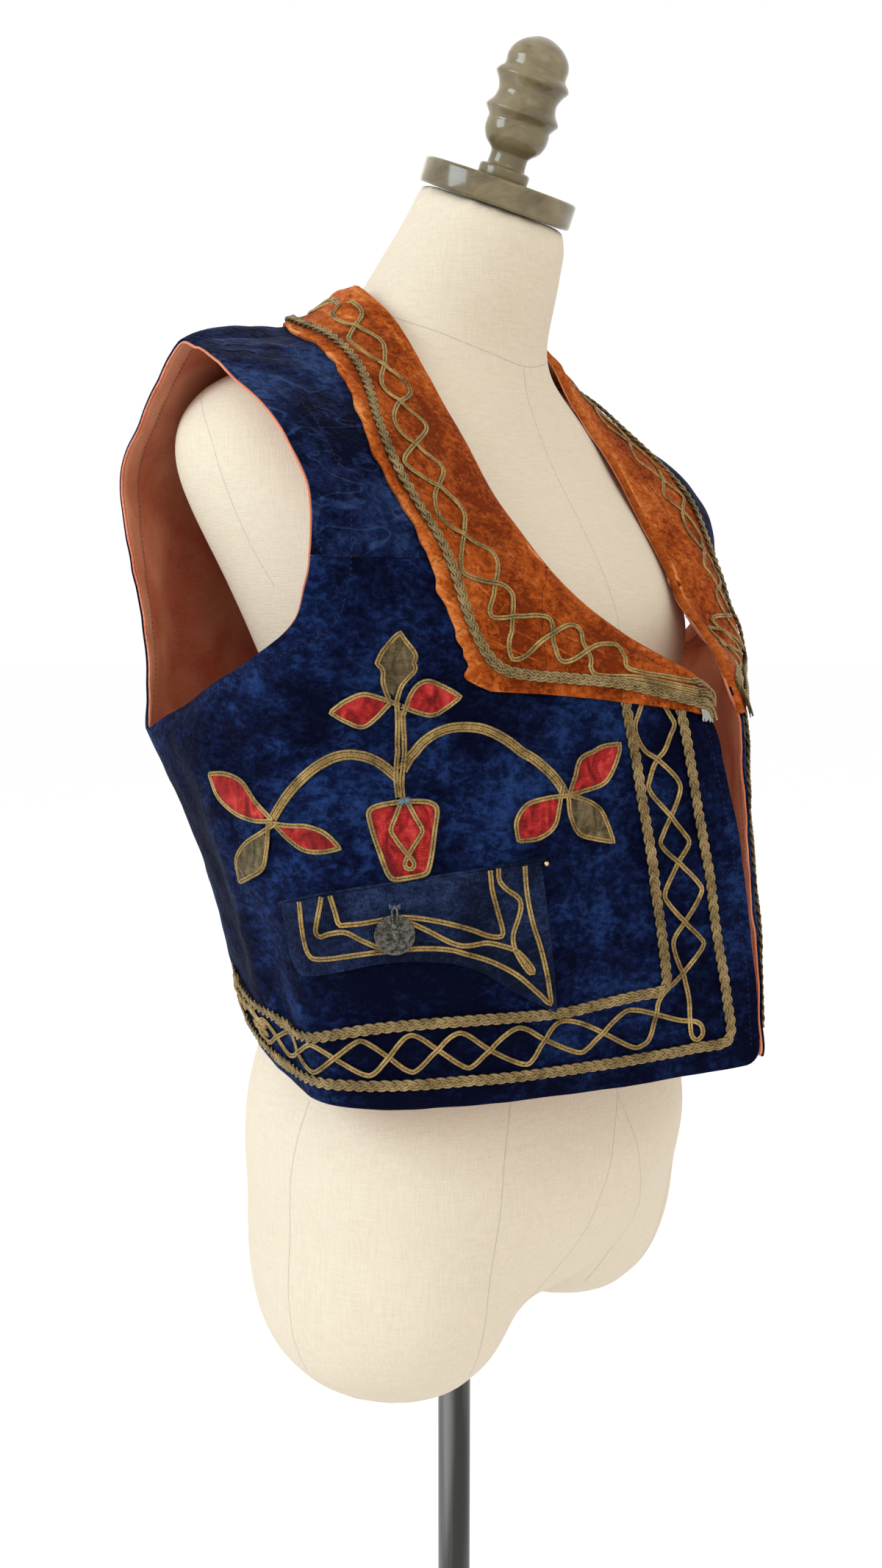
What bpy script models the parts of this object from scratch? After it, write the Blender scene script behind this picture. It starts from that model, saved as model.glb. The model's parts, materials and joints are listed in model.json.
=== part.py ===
"""Embroidered folk vest on a limbless dress form.

Metres, +Z up, standing on z = 0 with the pole's axis at x = y = 0. The wearer
faces -Y, so the wearer's right side is at -X. Tables are in centimetres: a
lateral size is measured out from the middle of the body, a forward size
towards the wearer's front, and a height up from the bottom of the form.
"""

import functools
import math

import bmesh
import bpy
import numpy as np
from mathutils import Matrix, Vector

CM = 0.01
GAP = 0.0003

# ---- Stand and dress form ----
FORM_BOTTOM = 0.72
BASE_RADIUS = 0.185
BASE_THICKNESS = 0.014
BASE_RIM = 0.004
HUB_RADIUS = 0.026
HUB_HEIGHT = 0.045
POLE_RADIUS = 0.012
POLE_SOCKET_DEPTH = 0.16
NECK_TILT = math.radians(23.2)
CAP_CENTRE = (3.53, 78.62)
CAP_RADIUS = 0.0521
CAP_THICKNESS = 0.0164
CAP_BEVEL = 0.002
LEG_LATERAL = 9.6
LEG_FORWARD = 1.5
FORM_SIDES = 32
LEG_SIDES = 20

# Rings of the torso, from the crotch to the neck: height, half width, front
# and back reach (both forward), tilt in degrees, squareness of front and back.
TORSO_RINGS = (
    (3.8, 3.2, 7.6, -6.0, 0, 2.0, 2.0),
    (4.6, 8.5, 9.2, -8.0, 0, 2.1, 2.1),
    (6.5, 14.0, 11.6, -9.8, 0, 2.2, 2.2),
    (11.0, 17.2, 14.0, -10.8, 0, 2.4, 2.4),
    (15.3, 17.9, 14.7, -11.0, 0, 2.4, 2.4),
    (19.5, 17.5, 13.9, -10.8, 0, 2.4, 2.4),
    (24.0, 16.1, 12.9, -10.0, 0, 2.3, 2.3),
    (30.0, 13.5, 11.3, -8.4, 0, 2.2, 2.2),
    (36.0, 12.4, 10.6, -7.8, 0, 2.2, 2.1),
    (42.0, 13.4, 11.9, -8.5, 0, 2.5, 2.2),
    (47.0, 15.2, 13.5, -10.2, 0, 3.1, 2.3),
    (50.5, 16.2, 13.6, -11.3, 0, 3.2, 2.4),
    (54.0, 17.0, 12.1, -12.3, 0, 2.9, 2.6),
    (57.5, 18.1, 10.1, -13.0, 0, 2.4, 2.9),
    (60.5, 18.9, 8.2, -13.4, 0, 2.1, 3.1),
    (63.3, 18.9, 6.9, -13.1, 0, 1.9, 3.0),
    (65.4, 17.5, 6.2, -11.97, 2, 1.6, 2.5),
    (67.1, 13.6, 5.8, -10.3, 4, 1.45, 2.0),
    (68.4, 11.0, 5.9, -9.2, 6, 1.5, 1.8),
    (69.5, 8.7, 6.0, -8.3, 9, 1.6, 1.8),
    (71.2, 7.0, 6.5, -6.8, 14, 1.9, 1.9),
    (73.4, 6.2, 7.3, -4.9, 19, 2.0, 2.0),
    (76.0, 5.5, 8.1, -2.8, 22, 2.0, 2.0),
    (77.81, 4.9, 8.1, -1.6, 23.2, 2.0, 2.0),
)

# Rings of one leg stump: height, half width, half depth.
LEG_RINGS = (
    (0.0, 3.4, 4.0),
    (0.5, 5.2, 6.2),
    (2.0, 6.9, 8.1),
    (4.3, 7.9, 9.3),
    (7.5, 8.3, 10.2),
    (12.0, 7.8, 10.6),
)

# Turned profile of the finial: distance above the cap, radius.
FINIAL_PROFILE = (
    (0.0, 1.6), (0.55, 1.65), (0.75, 1.4), (1.4, 1.3), (1.7, 1.6), (2.2, 2.0),
    (2.9, 2.2), (3.5, 2.2), (3.75, 2.3), (4.1, 2.45), (4.4, 2.4), (4.7, 2.2),
    (5.2, 2.15), (5.6, 2.2), (5.9, 2.35), (6.2, 2.45), (6.5, 2.35), (6.8, 2.15),
    (7.4, 2.0), (8.0, 1.6), (8.45, 1.0), (8.68, 0.45), (8.75, 0.0),
)

# ---- Cloth ----
VELVET = 0.0014
LINING = 0.0010
COLLAR = 0.0022
BRAID = 0.0016
CORD = 0.0010
APPLIQUE = 0.0008
FLAP = 0.0014
LIFT = 0.0009
PATCH_LIFT = 0.0007
TRIM_LIFT = 0.0014
COLLAR_LIFT = 0.0013
SEAM_HALF = 0.00018
LINING_TOP = VELVET + GAP
LINING_UNDER = LINING_TOP + LINING
COLLAR_TOP = COLLAR_LIFT + COLLAR
FLAP_TOP = LIFT + FLAP
TURN_SPREAD = 6.0
SECTION_SAMPLES = 121
ACROSS = 12
ROWS_BETWEEN = 2

# Sections of a front, from the hem to the shoulder seam. Each is a conic from
# the inner edge (front edge, then neckline) by its turn to the outer edge
# (side seam, then armhole). level is the height on the cut piece, inset how
# far the inner edge is from the front edge on it, dip how far the middle hangs
# below the ends, neck_dip how far the part by the neck does, band how wide the
# collar is there and seam how far its piecing seam is from its inner edge.
FRONT_COLUMNS = ("level", "inset", "in_lat", "in_fwd", "in_z", "turn_lat", "turn_fwd",
                 "out_lat", "out_fwd", "out_z", "weight", "dip", "neck_dip", "band", "seam")
FRONT_SECTIONS = (
    (0.0, 0.0, 0.3, 24.3, 23.8, 23.3, 8.8, 16.0, -4.0, 23.8, 4.0, 0.9, 0.0, 0, 0),
    (7.0, 0.0, 0.4, 23.6, 30.5, 24.8, 9.2, 17.3, -4.8, 30.5, 2.6, 0.4, 0.0, 0, 0),
    (14.0, 0.0, 0.7, 22.7, 37.2, 27.0, 8.5, 18.8, -6.2, 37.3, 1.8, 0.2, 0.0, 0, 0),
    (20.6, 0.0, 1.5, 21.7, 43.0, 28.0, 7.6, 20.4, -8.7, 43.9, 1.3, 0.0, 0.0, 0, 0),
    (22.8, 0.0, 1.9, 21.2, 45.0, 25.5, 8.8, 22.0, -2.3, 46.2, 2.0, -1.4, 0.0, 14.6, 10.8),
    (24.8, 0.0, 1.8, 20.4, 46.9, 24.5, 10.1, 22.9, 2.8, 48.3, 1.9, -0.8, 0.0, 15.7, 10.9),
    (28.0, 3.5, 5.2, 17.2, 49.6, 21.5, 11.6, 23.0, 6.8, 50.5, 1.4, 0.0, 0.0, 11.9, 6.3),
    (30.5, 6.0, 7.6, 15.1, 52.0, 19.5, 11.3, 23.0, 7.9, 52.4, 1.3, 0.0, 0.0, 9.5, 2.7),
    (33.0, 7.3, 8.8, 13.3, 54.2, 19.3, 10.9, 22.9, 8.3, 54.3, 1.2, 0.0, 0.0, 8.1, 0.4),
    (37.0, 7.8, 9.3, 10.2, 58.0, 19.6, 9.2, 22.5, 7.9, 58.0, 1.2, 0.0, 0.0, 7.8, 0),
    (41.3, 7.4, 8.8, 7.1, 62.0, 18.7, 6.5, 22.0, 5.0, 61.8, 1.2, 0.0, 0.0, 7.6, 0),
    (46.0, 7.0, 8.3, 4.1, 66.0, 17.0, 2.4, 21.4, 0.8, 64.8, 1.1, 0.0, 0.0, 6.5, 0),
    (49.5, 7.0, 8.5, 1.8, 69.4, 16.5, -0.4, 20.9, -1.2, 66.0, 1.0, 0.0, 0.8, 5.6, 0),
    (53.0, 6.8, 7.9, -1.6, 72.0, 13.5, -3.8, 20.3, -3.2, 66.9, 1.0, 0.0, 1.5, 5.2, 0),
)
ARMPIT_ROW = 3
TIP_ROW = 4
YOKE_ROW = 8

# Sections of half the back, from the hem to the shoulder seam; the inner edge
# is the centre back, then the neckline.
BACK_COLUMNS = ("level", "in_lat", "in_fwd", "in_z", "turn_lat", "turn_fwd",
                "out_lat", "out_fwd", "out_z", "weight", "dip", "neck_dip")
BACK_SECTIONS = (
    (0.0, 0.0, -12.0, 24.2, 11.5, -12.3, 16.0, -4.0, 23.8, 1.2, 0.0, 0.0),
    (7.0, 0.0, -12.3, 30.6, 12.5, -12.8, 17.3, -4.8, 30.5, 1.2, 0.0, 0.0),
    (14.0, 0.0, -12.9, 37.2, 14.0, -13.8, 18.8, -6.2, 37.3, 1.2, 0.0, 0.0),
    (20.6, 0.0, -13.6, 43.6, 15.5, -14.8, 20.4, -8.7, 43.9, 1.2, 0.0, 0.0),
    (25.0, 0.0, -14.1, 48.3, 14.5, -15.2, 20.0, -9.0, 48.4, 1.2, 0.0, 0.0),
    (31.0, 0.0, -14.4, 54.2, 13.5, -15.4, 19.6, -10.8, 54.3, 1.2, 0.0, 0.0),
    (37.0, 0.0, -14.3, 60.2, 12.5, -15.2, 19.1, -12.3, 60.0, 1.2, 0.0, 0.0),
    (41.0, 0.0, -13.5, 64.8, 12.0, -13.6, 19.5, -9.7, 63.3, 1.1, 0.0, 0.0),
    (45.0, 0.0, -11.6, 68.8, 11.0, -11.4, 20.0, -7.4, 65.2, 1.0, 0.0, 0.3),
    (49.0, 0.0, -8.4, 72.4, 10.0, -8.6, 20.2, -5.8, 66.6, 1.0, -0.5, 1.3),
    (51.0, 5.0, -6.2, 72.4, 12.0, -5.4, 20.3, -4.6, 67.3, 1.0, -1.0, 1.9),
    (53.0, 7.9, -1.6, 72.0, 13.5, -3.8, 20.3, -3.2, 66.9, 1.0, 0.0, 1.5),
)
BACK_NECK_ROW = 9

# The collar on the back, from the shoulder seam to the centre back: row, width.
COLLAR_BACK = ((10.5, 5.5), (10.0, 5.9), (9.5, 6.9), (9.0, 8.4), (8.5, 6.2), (8.2, 4.2),
               (8.0, 2.2), (7.9, 0.6))
COLLAR_ACROSS = 4
PIECING_ROW = 7.85

# Middles of the collar's braid and lattice. On a front, distance from the front
# edge and level; on the back, distance from the neckline or centre and row.
COLLAR_BRAID_INSET = 0.9
COLLAR_BRAID_LEVEL = 23.7
COLLAR_BRAID_FOOT = (0.9, 3.0, 5.4, 8.0, 10.7, 12.4, 13.6)
COLLAR_BRAID_BACK = ((4.6, 10.5), (5.0, 10.0), (6.1, 9.4), (7.4, 9.0), (6.2, 8.7),
                     (4.3, 8.4), (2.2, 8.2), (0.0, 8.1))
COLLAR_LATTICE = (
    (1.6, 25.1), (3.4, 25.4), (5.4, 25.9), (7.3, 26.8), (9.2, 28.2), (10.5, 30.3),
    (11.3, 33.0), (11.6, 37.0), (11.3, 41.3), (10.3, 46.0), (9.8, 49.5), (9.4, 53.0),
)
COLLAR_LATTICE_BACK = ((2.6, 10.5), (2.8, 10.0), (3.3, 9.4), (3.3, 8.9), (2.0, 8.6),
                       (0.0, 8.46))
COLLAR_LATTICE_WIDTH = 1.5

# Strips round the border: distance from the front edge, level over the hem,
# width and thickness.
BRAID_WIDTH = 0.7
BORDERS = {
    "border_outer": (2.3, 1.5, BRAID_WIDTH, BRAID),
    "border_inner": (6.15, 4.9, BRAID_WIDTH, BRAID),
    "border_lattice": (4.2, 3.2, 1.9, CORD),
}
BORDER_TOP = 22.4
# The borders draw closer to the hem towards the side seam: across, part of level.
BORDER_CLOSER = ((0.5, 0.8), (1.0, 0.84))

# Leaves of a front: base and tip as distance from the front edge and level,
# width and finish.
LEAVES = {
    "leaf_top": ((19.95, 22.8), (18.7, 28.1), 2.3, "olive_satin"),
    "leaf_upper_front": ((19.3, 22.35), (16.0, 22.9), 1.8, "red_satin"),
    "leaf_upper_side": ((20.3, 22.25), (23.7, 22.1), 1.7, "red_satin"),
    "leaf_front_high": ((10.7, 18.1), (7.0, 20.9), 1.9, "red_satin"),
    "leaf_front_low": ((11.2, 17.2), (14.6, 14.9), 1.9, "red_satin"),
    "leaf_front_tip": ((10.5, 17.3), (8.3, 14.7), 2.1, "olive_satin"),
    "leaf_side_high": ((29.1, 16.6), (32.4, 19.0), 1.9, "red_satin"),
    "leaf_side_low": ((28.3, 16.0), (24.7, 14.9), 1.8, "red_satin"),
    "leaf_side_tip": ((29.2, 15.8), (32.0, 12.6), 2.2, "olive_satin"),
}
# Outline of a leaf: part of its length, part of its width.
LEAF_OUTLINE = ((0.0, 0.12), (0.18, 0.62), (0.42, 1.0), (0.62, 0.88), (0.84, 0.42), (1.0, 0.08))

# Braided stem and arches of a front: distances from the front edge and levels.
STEMS = {
    "stem": ((19.8, 22.1), (19.95, 20.8), (20.2, 19.3), (20.5, 17.9)),
    "arch_front": ((19.3, 19.4), (18.8, 20.5), (17.8, 21.1), (16.4, 21.4), (15.0, 21.3),
                   (13.4, 20.6), (12.1, 19.5), (11.4, 18.3)),
    "arch_side": ((21.1, 18.9), (21.6, 19.8), (22.7, 20.3), (24.2, 20.1), (25.8, 19.3),
                  (27.2, 18.0), (28.2, 16.7)),
}
POT = ((20.6, 17.45), (21.1, 13.8), ((0.0, 3.8), (0.5, 3.3), (1.0, 2.3)))

# Pocket flap: distance from the front edge, level of its top and its bottom.
FLAP_STATIONS = (
    (29.1, 11.7, 8.5), (28.4, 11.8, 7.5), (26.5, 12.3, 7.8), (24.0, 12.8, 8.4),
    (21.5, 13.2, 8.6), (19.2, 13.5, 8.3), (17.0, 13.7, 7.4), (15.2, 13.8, 6.4),
    (13.3, 13.9, 5.4),
)
BUTTON_PLACE = (22.4, 10.2)
BUTTON_RADIUS = 0.0118
BUTTON_THICKNESS = 0.0018


# ---------------------------------------------------------------- helpers

def new_collection(name):
    collection = bpy.data.collections.new(name)
    bpy.context.scene.collection.children.link(collection)
    return collection


def material(name, colour, roughness, metallic=0.0):
    """A Principled material of this colour, made once for each name."""
    if name in bpy.data.materials:
        return bpy.data.materials[name]
    made = bpy.data.materials.new(name)
    made.use_nodes = True
    shader = made.node_tree.nodes["Principled BSDF"]
    shader.inputs["Base Color"].default_value = (*colour, 1.0)
    shader.inputs["Roughness"].default_value = roughness
    shader.inputs["Metallic"].default_value = metallic
    made.diffuse_color = (*colour, 1.0)
    return made


MATERIALS = {
    "velvet": ((0.010, 0.022, 0.115), 0.75, 0.0),
    "collar_velvet": ((0.48, 0.12, 0.015), 0.7, 0.0),
    "lining": ((0.52, 0.17, 0.09), 0.85, 0.0),
    "braid": ((0.22, 0.15, 0.055), 0.6, 0.0),
    "red_satin": ((0.50, 0.022, 0.02), 0.4, 0.0),
    "olive_satin": ((0.11, 0.095, 0.04), 0.45, 0.0),
    "linen": ((0.74, 0.66, 0.54), 0.9, 0.0),
    "wood": ((0.16, 0.125, 0.07), 0.25, 0.0),
    "steel": ((0.18, 0.18, 0.18), 0.35, 1.0),
    "silver": ((0.33, 0.31, 0.28), 0.45, 1.0),
}


def add_object(bm, name, finish, collection):
    """Turns the bmesh into an object whose faces point out, in its collection."""
    bmesh.ops.recalc_face_normals(bm, faces=bm.faces[:])
    if bm.calc_volume(signed=True) < 0:
        bmesh.ops.reverse_faces(bm, faces=bm.faces[:])
    mesh = bpy.data.meshes.new(name)
    bm.to_mesh(mesh)
    bm.free()
    mesh.shade_smooth()
    mesh.set_sharp_from_angle(angle=math.radians(40))
    mesh.materials.append(material(finish, *MATERIALS[finish]))
    made = bpy.data.objects.new(name, mesh)
    collection.objects.link(made)
    return made


def spline(rows, at):
    """Catmull-Rom through the rows, read at each place counted in rows."""
    rows = np.asarray(rows, float)
    padded = np.vstack([2 * rows[0] - rows[1], rows, 2 * rows[-1] - rows[-2]])
    at = np.clip(np.asarray(at, float), 0, len(rows) - 1)
    k = np.minimum(at.astype(int), len(rows) - 2)
    t = (at - k)[..., None]
    a, b, c, d = (padded[k + i] for i in range(4))
    return b + 0.5 * t * (c - a + t * (2 * a - 5 * b + 4 * c - d + t * (3 * (b - c) + d - a)))


def unit(vectors):
    return vectors / np.linalg.norm(vectors, axis=-1, keepdims=True)


# ---------------------------------------------------------------- panels

class Panel:
    """A cut piece of the vest as a surface over across (0 inner edge, 1 outer
    edge) and row (counted in sections), on one side of the body."""

    def __init__(self, columns, sections, side, turning, inner_corner):
        self.side = side
        self.facing = side * turning
        self.inner_corner = inner_corner
        self.table = {name: np.array([row[i] for row in sections], float)
                      for i, name in enumerate(columns)}
        self.rows = len(sections) - 1

    def column(self, names, row):
        return spline(np.stack([self.table[name] for name in names], 1), row)

    def edge(self, names, corner, row):
        """An edge of the piece, which turns a corner at one of the sections."""
        points = np.stack([self.table[name] for name in names], 1)
        if row < corner:
            return spline(points[:corner + 1], row)
        return spline(points[corner:], row - corner)

    @functools.lru_cache(maxsize=None)
    def section(self, row):
        """The section at this row: points along it, their lengths from the
        inner edge and how far across they are, with turns given more room."""
        inner = self.edge(("in_lat", "in_fwd", "in_z"), self.inner_corner, row)
        turn = self.column(("turn_lat", "turn_fwd"), row)
        outer = self.edge(("out_lat", "out_fwd", "out_z"), ARMPIT_ROW, row)
        weight, dip, neck_dip = self.column(("weight", "dip", "neck_dip"), row)
        t = np.linspace(0, 1, SECTION_SAMPLES)[:, None]
        a, b, c = (1 - t) ** 2, 2 * weight * t * (1 - t), t ** 2
        plan = (a * inner[:2] + b * turn + c * outer[:2]) / (a + b + c)
        steps = np.linalg.norm(np.diff(plan, axis=0), axis=1)
        length = np.concatenate([[0], np.cumsum(steps)])
        part = length / length[-1]
        hang = (4 * dip + 6.75 * neck_dip * (1 - part)) * part * (1 - part)
        height = inner[2] + (outer[2] - inner[2]) * part - hang
        points = np.stack([self.side * plan[:, 0], -plan[:, 1], height], 1)
        ahead = unit(np.diff(points, axis=0))
        bend = np.arccos(np.clip((ahead[1:] * ahead[:-1]).sum(1), -1, 1))
        share = length + TURN_SPREAD * np.concatenate([[0], np.cumsum(bend), [bend.sum()]])
        return points, length, share / share[-1]

    def point(self, across, row):
        points, _, share = self.section(float(row))
        place = [np.interp(across, share, points[:, i]) for i in range(3)]
        place = np.stack(place, -1) * CM
        place[..., 2] += FORM_BOTTOM
        return place

    def across_at(self, distance, row):
        """The across value this many centimetres along the section."""
        _, length, share = self.section(float(row))
        return np.interp(distance, length, share)

    def row_at(self, level):
        return np.interp(level, self.table["level"], np.arange(self.rows + 1))

    def normal(self, across, row):
        step = 0.02
        a0, a1 = np.clip([across - step, across + step], 0, 1)
        r0, r1 = np.clip([row - step, row + step], 0, self.rows)
        along = self.point(a1, row) - self.point(a0, row)
        up = self.point(across, r1) - self.point(across, r0)
        normal = self.facing * np.cross(up, along)
        if self.point(across, row)[0] == 0:
            normal[0] = 0
        return unit(normal)


class Side:
    """The front and back panels of one side of the vest, which share the
    directions of their walls along the side and shoulder seams."""

    def __init__(self, name, side):
        self.name = name
        self.front = Panel(FRONT_COLUMNS, FRONT_SECTIONS, side, -1, 0)
        self.back = Panel(BACK_COLUMNS, BACK_SECTIONS, side, 1, BACK_NECK_ROW)
        sewn = list(np.linspace(0, ARMPIT_ROW, ARMPIT_ROW * ROWS_BETWEEN + 1))
        self.sewn = len(sewn)
        self.front_rows = sewn + [3.5, 4, 4.5, 5, 5.5, 6, 7, 8, 9, 10, 11, 12, 13]
        self.back_rows = sewn + [4, 5, 6, 7, 8, 8.5, 9, 9.5, 10, 10.5, 11]
        self.across = np.linspace(0, 1, ACROSS + 1)
        self.front_points, self.front_normals = self.grid(self.front, self.front_rows)
        self.back_points, self.back_normals = self.grid(self.back, self.back_rows)

    def normal(self, panel, across, row):
        """The direction out of a panel, which front and back share at their seams."""
        other = self.back if panel is self.front else self.front
        normal = panel.normal(across, row)
        if row == panel.rows:
            normal = unit(normal + other.normal(across, other.rows))
        elif across == 1 and row <= ARMPIT_ROW:
            normal = unit(normal + other.normal(across, row))
        return normal

    def grid(self, panel, rows):
        points = np.array([panel.point(self.across, row) for row in rows])
        normals = np.array([[self.normal(panel, across, row) for across in self.across]
                            for row in rows])
        return points, normals

    def front_skin(self, depth):
        return self.front_points - self.front_normals * depth

    def back_skin(self, depth):
        return self.back_points - self.back_normals * depth

    def lifted(self, panel, distance, row, lift):
        """A point this high over a panel, at a distance from its inner edge."""
        across = panel.across_at(distance, row)
        return panel.point(across, row) + self.normal(panel, across, row) * lift

    def inset(self, level):
        """How far a front's inner edge is from the line of its front edge."""
        return np.interp(level, self.front.table["level"], self.front.table["inset"])

    def front_place(self, place):
        """The panel, across and row of a distance from the front edge and a level."""
        from_edge, level = place
        row = self.front.row_at(level)
        return self.front, self.front.across_at(from_edge - self.inset(level), row), row

    def on_front(self, place, lift):
        panel, across, row = self.front_place(place)
        return panel.point(across, row) + self.normal(panel, across, row) * lift


# ---------------------------------------------------------------- walls

def wall(name, outer, inner, finish, collection, mirrored=False):
    """A closed wall between an outer and an inner grid of points. A mirrored
    one is half of a piece, joined to its other half where it meets x = 0."""
    rows, columns = outer.shape[:2]
    bm = bmesh.new()
    under = bm.verts.layers.float_vector.new("under")
    bmesh.ops.create_grid(bm, x_segments=columns - 1, y_segments=rows - 1, size=0.5)
    for vert in bm.verts:
        row = round((vert.co.y + 0.5) * (rows - 1))
        column = round((vert.co.x + 0.5) * (columns - 1))
        vert.co = outer[row, column]
        vert[under] = inner[row, column]
    bmesh.ops.triangulate(bm, faces=bm.faces[:], quad_method="FIXED")
    if mirrored:
        half = bm.verts[:] + bm.edges[:] + bm.faces[:]
        bmesh.ops.mirror(bm, geom=half, matrix=Matrix.Identity(4), merge_dist=1e-6, axis="X")
        for vert in bm.verts:
            if vert.co.x > 0:
                vert[under] = vert[under] * Vector((-1, 1, 1))
    extruded = bmesh.ops.extrude_face_region(bm, geom=bm.faces[:], use_keep_orig=True)
    for item in extruded["geom"]:
        if isinstance(item, bmesh.types.BMVert):
            item.co = item[under]
    return add_object(bm, name, finish, collection)


def pulled_in(points, first_row=False, last_row=False, last_column=0):
    """The grid with these edges drawn back half a seam's gap; last_column is
    how many rows of the outer edge are sewn."""
    points = points.copy()
    if last_column:
        edge = slice(0, last_column)
        points[edge, -1] += unit(points[edge, -2] - points[edge, -1]) * SEAM_HALF
    if first_row:
        points[0] += unit(points[1] - points[0]) * SEAM_HALF
    if last_row:
        points[-1] += unit(points[-2] - points[-1]) * SEAM_HALF
    return points


def make_panels(sides, collection):
    for side in sides:
        yoke = side.front_rows.index(YOKE_ROW)
        for name, rows, ends in (("front", slice(0, yoke + 1), (False, True)),
                                 ("yoke", slice(yoke, None), (True, True))):
            sewn = side.sewn if name == "front" else 0
            skins = [pulled_in(side.front_skin(depth)[rows], *ends, sewn)
                     for depth in (0, VELVET)]
            wall(f"{name}_{side.name}", *skins, "velvet", collection)
        skins = [pulled_in(side.front_skin(depth), False, True, side.sewn)
                 for depth in (LINING_TOP, LINING_UNDER)]
        wall(f"lining_{side.name}", *skins, "lining", collection)
    right = sides[0]
    for name, finish, depths in (("back", "velvet", (0, VELVET)),
                                 ("lining_back", "lining", (LINING_TOP, LINING_UNDER))):
        skins = [pulled_in(right.back_skin(depth), False, True, right.sewn)
                 for depth in depths]
        wall(name, *skins, finish, collection, mirrored=True)


# ---------------------------------------------------------------- collar

class Collar:
    """Half of the collar, spanned by a line at each row from its inner edge out,
    given as a panel, the row and the distances of its ends."""

    def __init__(self, side):
        self.side = side
        rows = sorted([row for row in side.front_rows if row >= TIP_ROW] + [PIECING_ROW])
        self.rows = rows
        self.main = [(side.front, row, self.seam(row), self.band(row)) for row in rows]
        self.main += [(side.back, row, 0.0, width) for row, width in COLLAR_BACK]
        self.tip = [(side.front, row, 0.0, self.seam(row)) for row in rows if row < YOKE_ROW]

    def band(self, row):
        return self.side.front.column(("band",), row)[0]

    def seam(self, row):
        """How far the piecing seam is from the inner edge."""
        return self.side.front.column(("seam",), row)[0] if row < YOKE_ROW else 0.0

    def skin(self, lines, lift):
        """Points spread evenly along the lines, this high over the panels."""
        return np.array([[self.side.lifted(panel, distance, row, lift)
                          for distance in np.linspace(start, end, COLLAR_ACROSS + 1)]
                         for panel, row, start, end in lines])


def make_collar(side, collection):
    """The main piece of half the collar and its tip beyond the piecing seam."""
    collar = Collar(side)
    pieced = len(collar.tip)
    centred = [i for i, (panel, row, _, _) in enumerate(collar.main)
               if panel is side.back and row <= BACK_NECK_ROW]
    mains, tips = [], []
    for lift in (COLLAR_TOP, COLLAR_LIFT):
        main = collar.skin(collar.main, lift)
        main[:pieced, 0] += unit(main[:pieced, 1] - main[:pieced, 0]) * SEAM_HALF
        main[centred, 0, 0] = side.front.side * SEAM_HALF
        mains.append(main)
        tip = collar.skin(collar.tip, lift)
        tip[:, -1] += unit(tip[:, -2] - tip[:, -1]) * SEAM_HALF
        tips.append(tip)
    wall(f"collar_{side.name}", *mains, "collar_velvet", collection)
    wall(f"collar_tip_{side.name}", *tips, "collar_velvet", collection)


# ---------------------------------------------------------------- trimming

def smooth(path):
    """The path as a curve, with each step split in two."""
    return spline(path, np.linspace(0, len(path) - 1, 2 * len(path) - 1))


def ribbon(side, places, width, end=None):
    """A maker of a strip's points for any lift, along a line of places given as
    panel, across and row. end is the lateral place of its last two points."""
    points = np.array([panel.point(across, row) for panel, across, row in places])
    normals = np.array([side.normal(*place) for place in places])

    def at(lift):
        middle = points + normals * lift
        ahead = unit(np.diff(middle, axis=0))
        turn = np.vstack([ahead[:1], ahead]) + np.vstack([ahead, ahead[-1:]])
        aside = np.cross(normals, turn)
        aside *= (width * CM / (aside ** 2).sum(1))[:, None]
        grid = np.stack([middle - aside, middle + aside], 1)
        if end is not None:
            grid[-1, :, 0] = end
        return grid

    return at


def patch(side, base, tip, stations):
    """A maker of a flat shape's points on a front for any lift: from base to
    tip, with stations giving part of the length and the width there."""
    base, tip = np.array(base), np.array(tip)
    ahead = unit(tip - base)
    aside = np.array([-ahead[1], ahead[0]]) / 2

    def at(lift):
        return np.array([[side.on_front(base + part * (tip - base) + edge * width * aside, lift)
                          for edge in (-1, 0, 1)] for part, width in stations])

    return at


def strip(name, points, base, thickness, finish, collection, mirrored=False):
    wall(name, points(base + thickness), points(base), finish, collection, mirrored)


def make_borders(side, collection):
    """The strips round the border: down the front, round its corner and along
    the hem to the centre back."""
    front, back = side.front, side.back
    levels = front.table["level"]
    for name, (inset, level, width, thickness) in BORDERS.items():
        rows = [row for row in side.front_rows[::-1]
                if front.row_at(level + width) < row < TIP_ROW]
        places = [side.front_place((inset, BORDER_TOP))]
        places += [side.front_place((inset, np.interp(row, range(len(levels)), levels)))
                   for row in rows]
        places.append(side.front_place((inset, level)))
        beyond = front.across_at(inset + width, 0)
        for panel, line in ((front, side.across[side.across > beyond]),
                            (back, side.across[-2::-1])):
            places += [(panel, across, panel.row_at(level * np.interp(across, *BORDER_CLOSER)))
                       for across in line]
        strip(name, ribbon(side, places, width, 0.0), LIFT, thickness, "braid", collection,
              mirrored=True)


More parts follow.
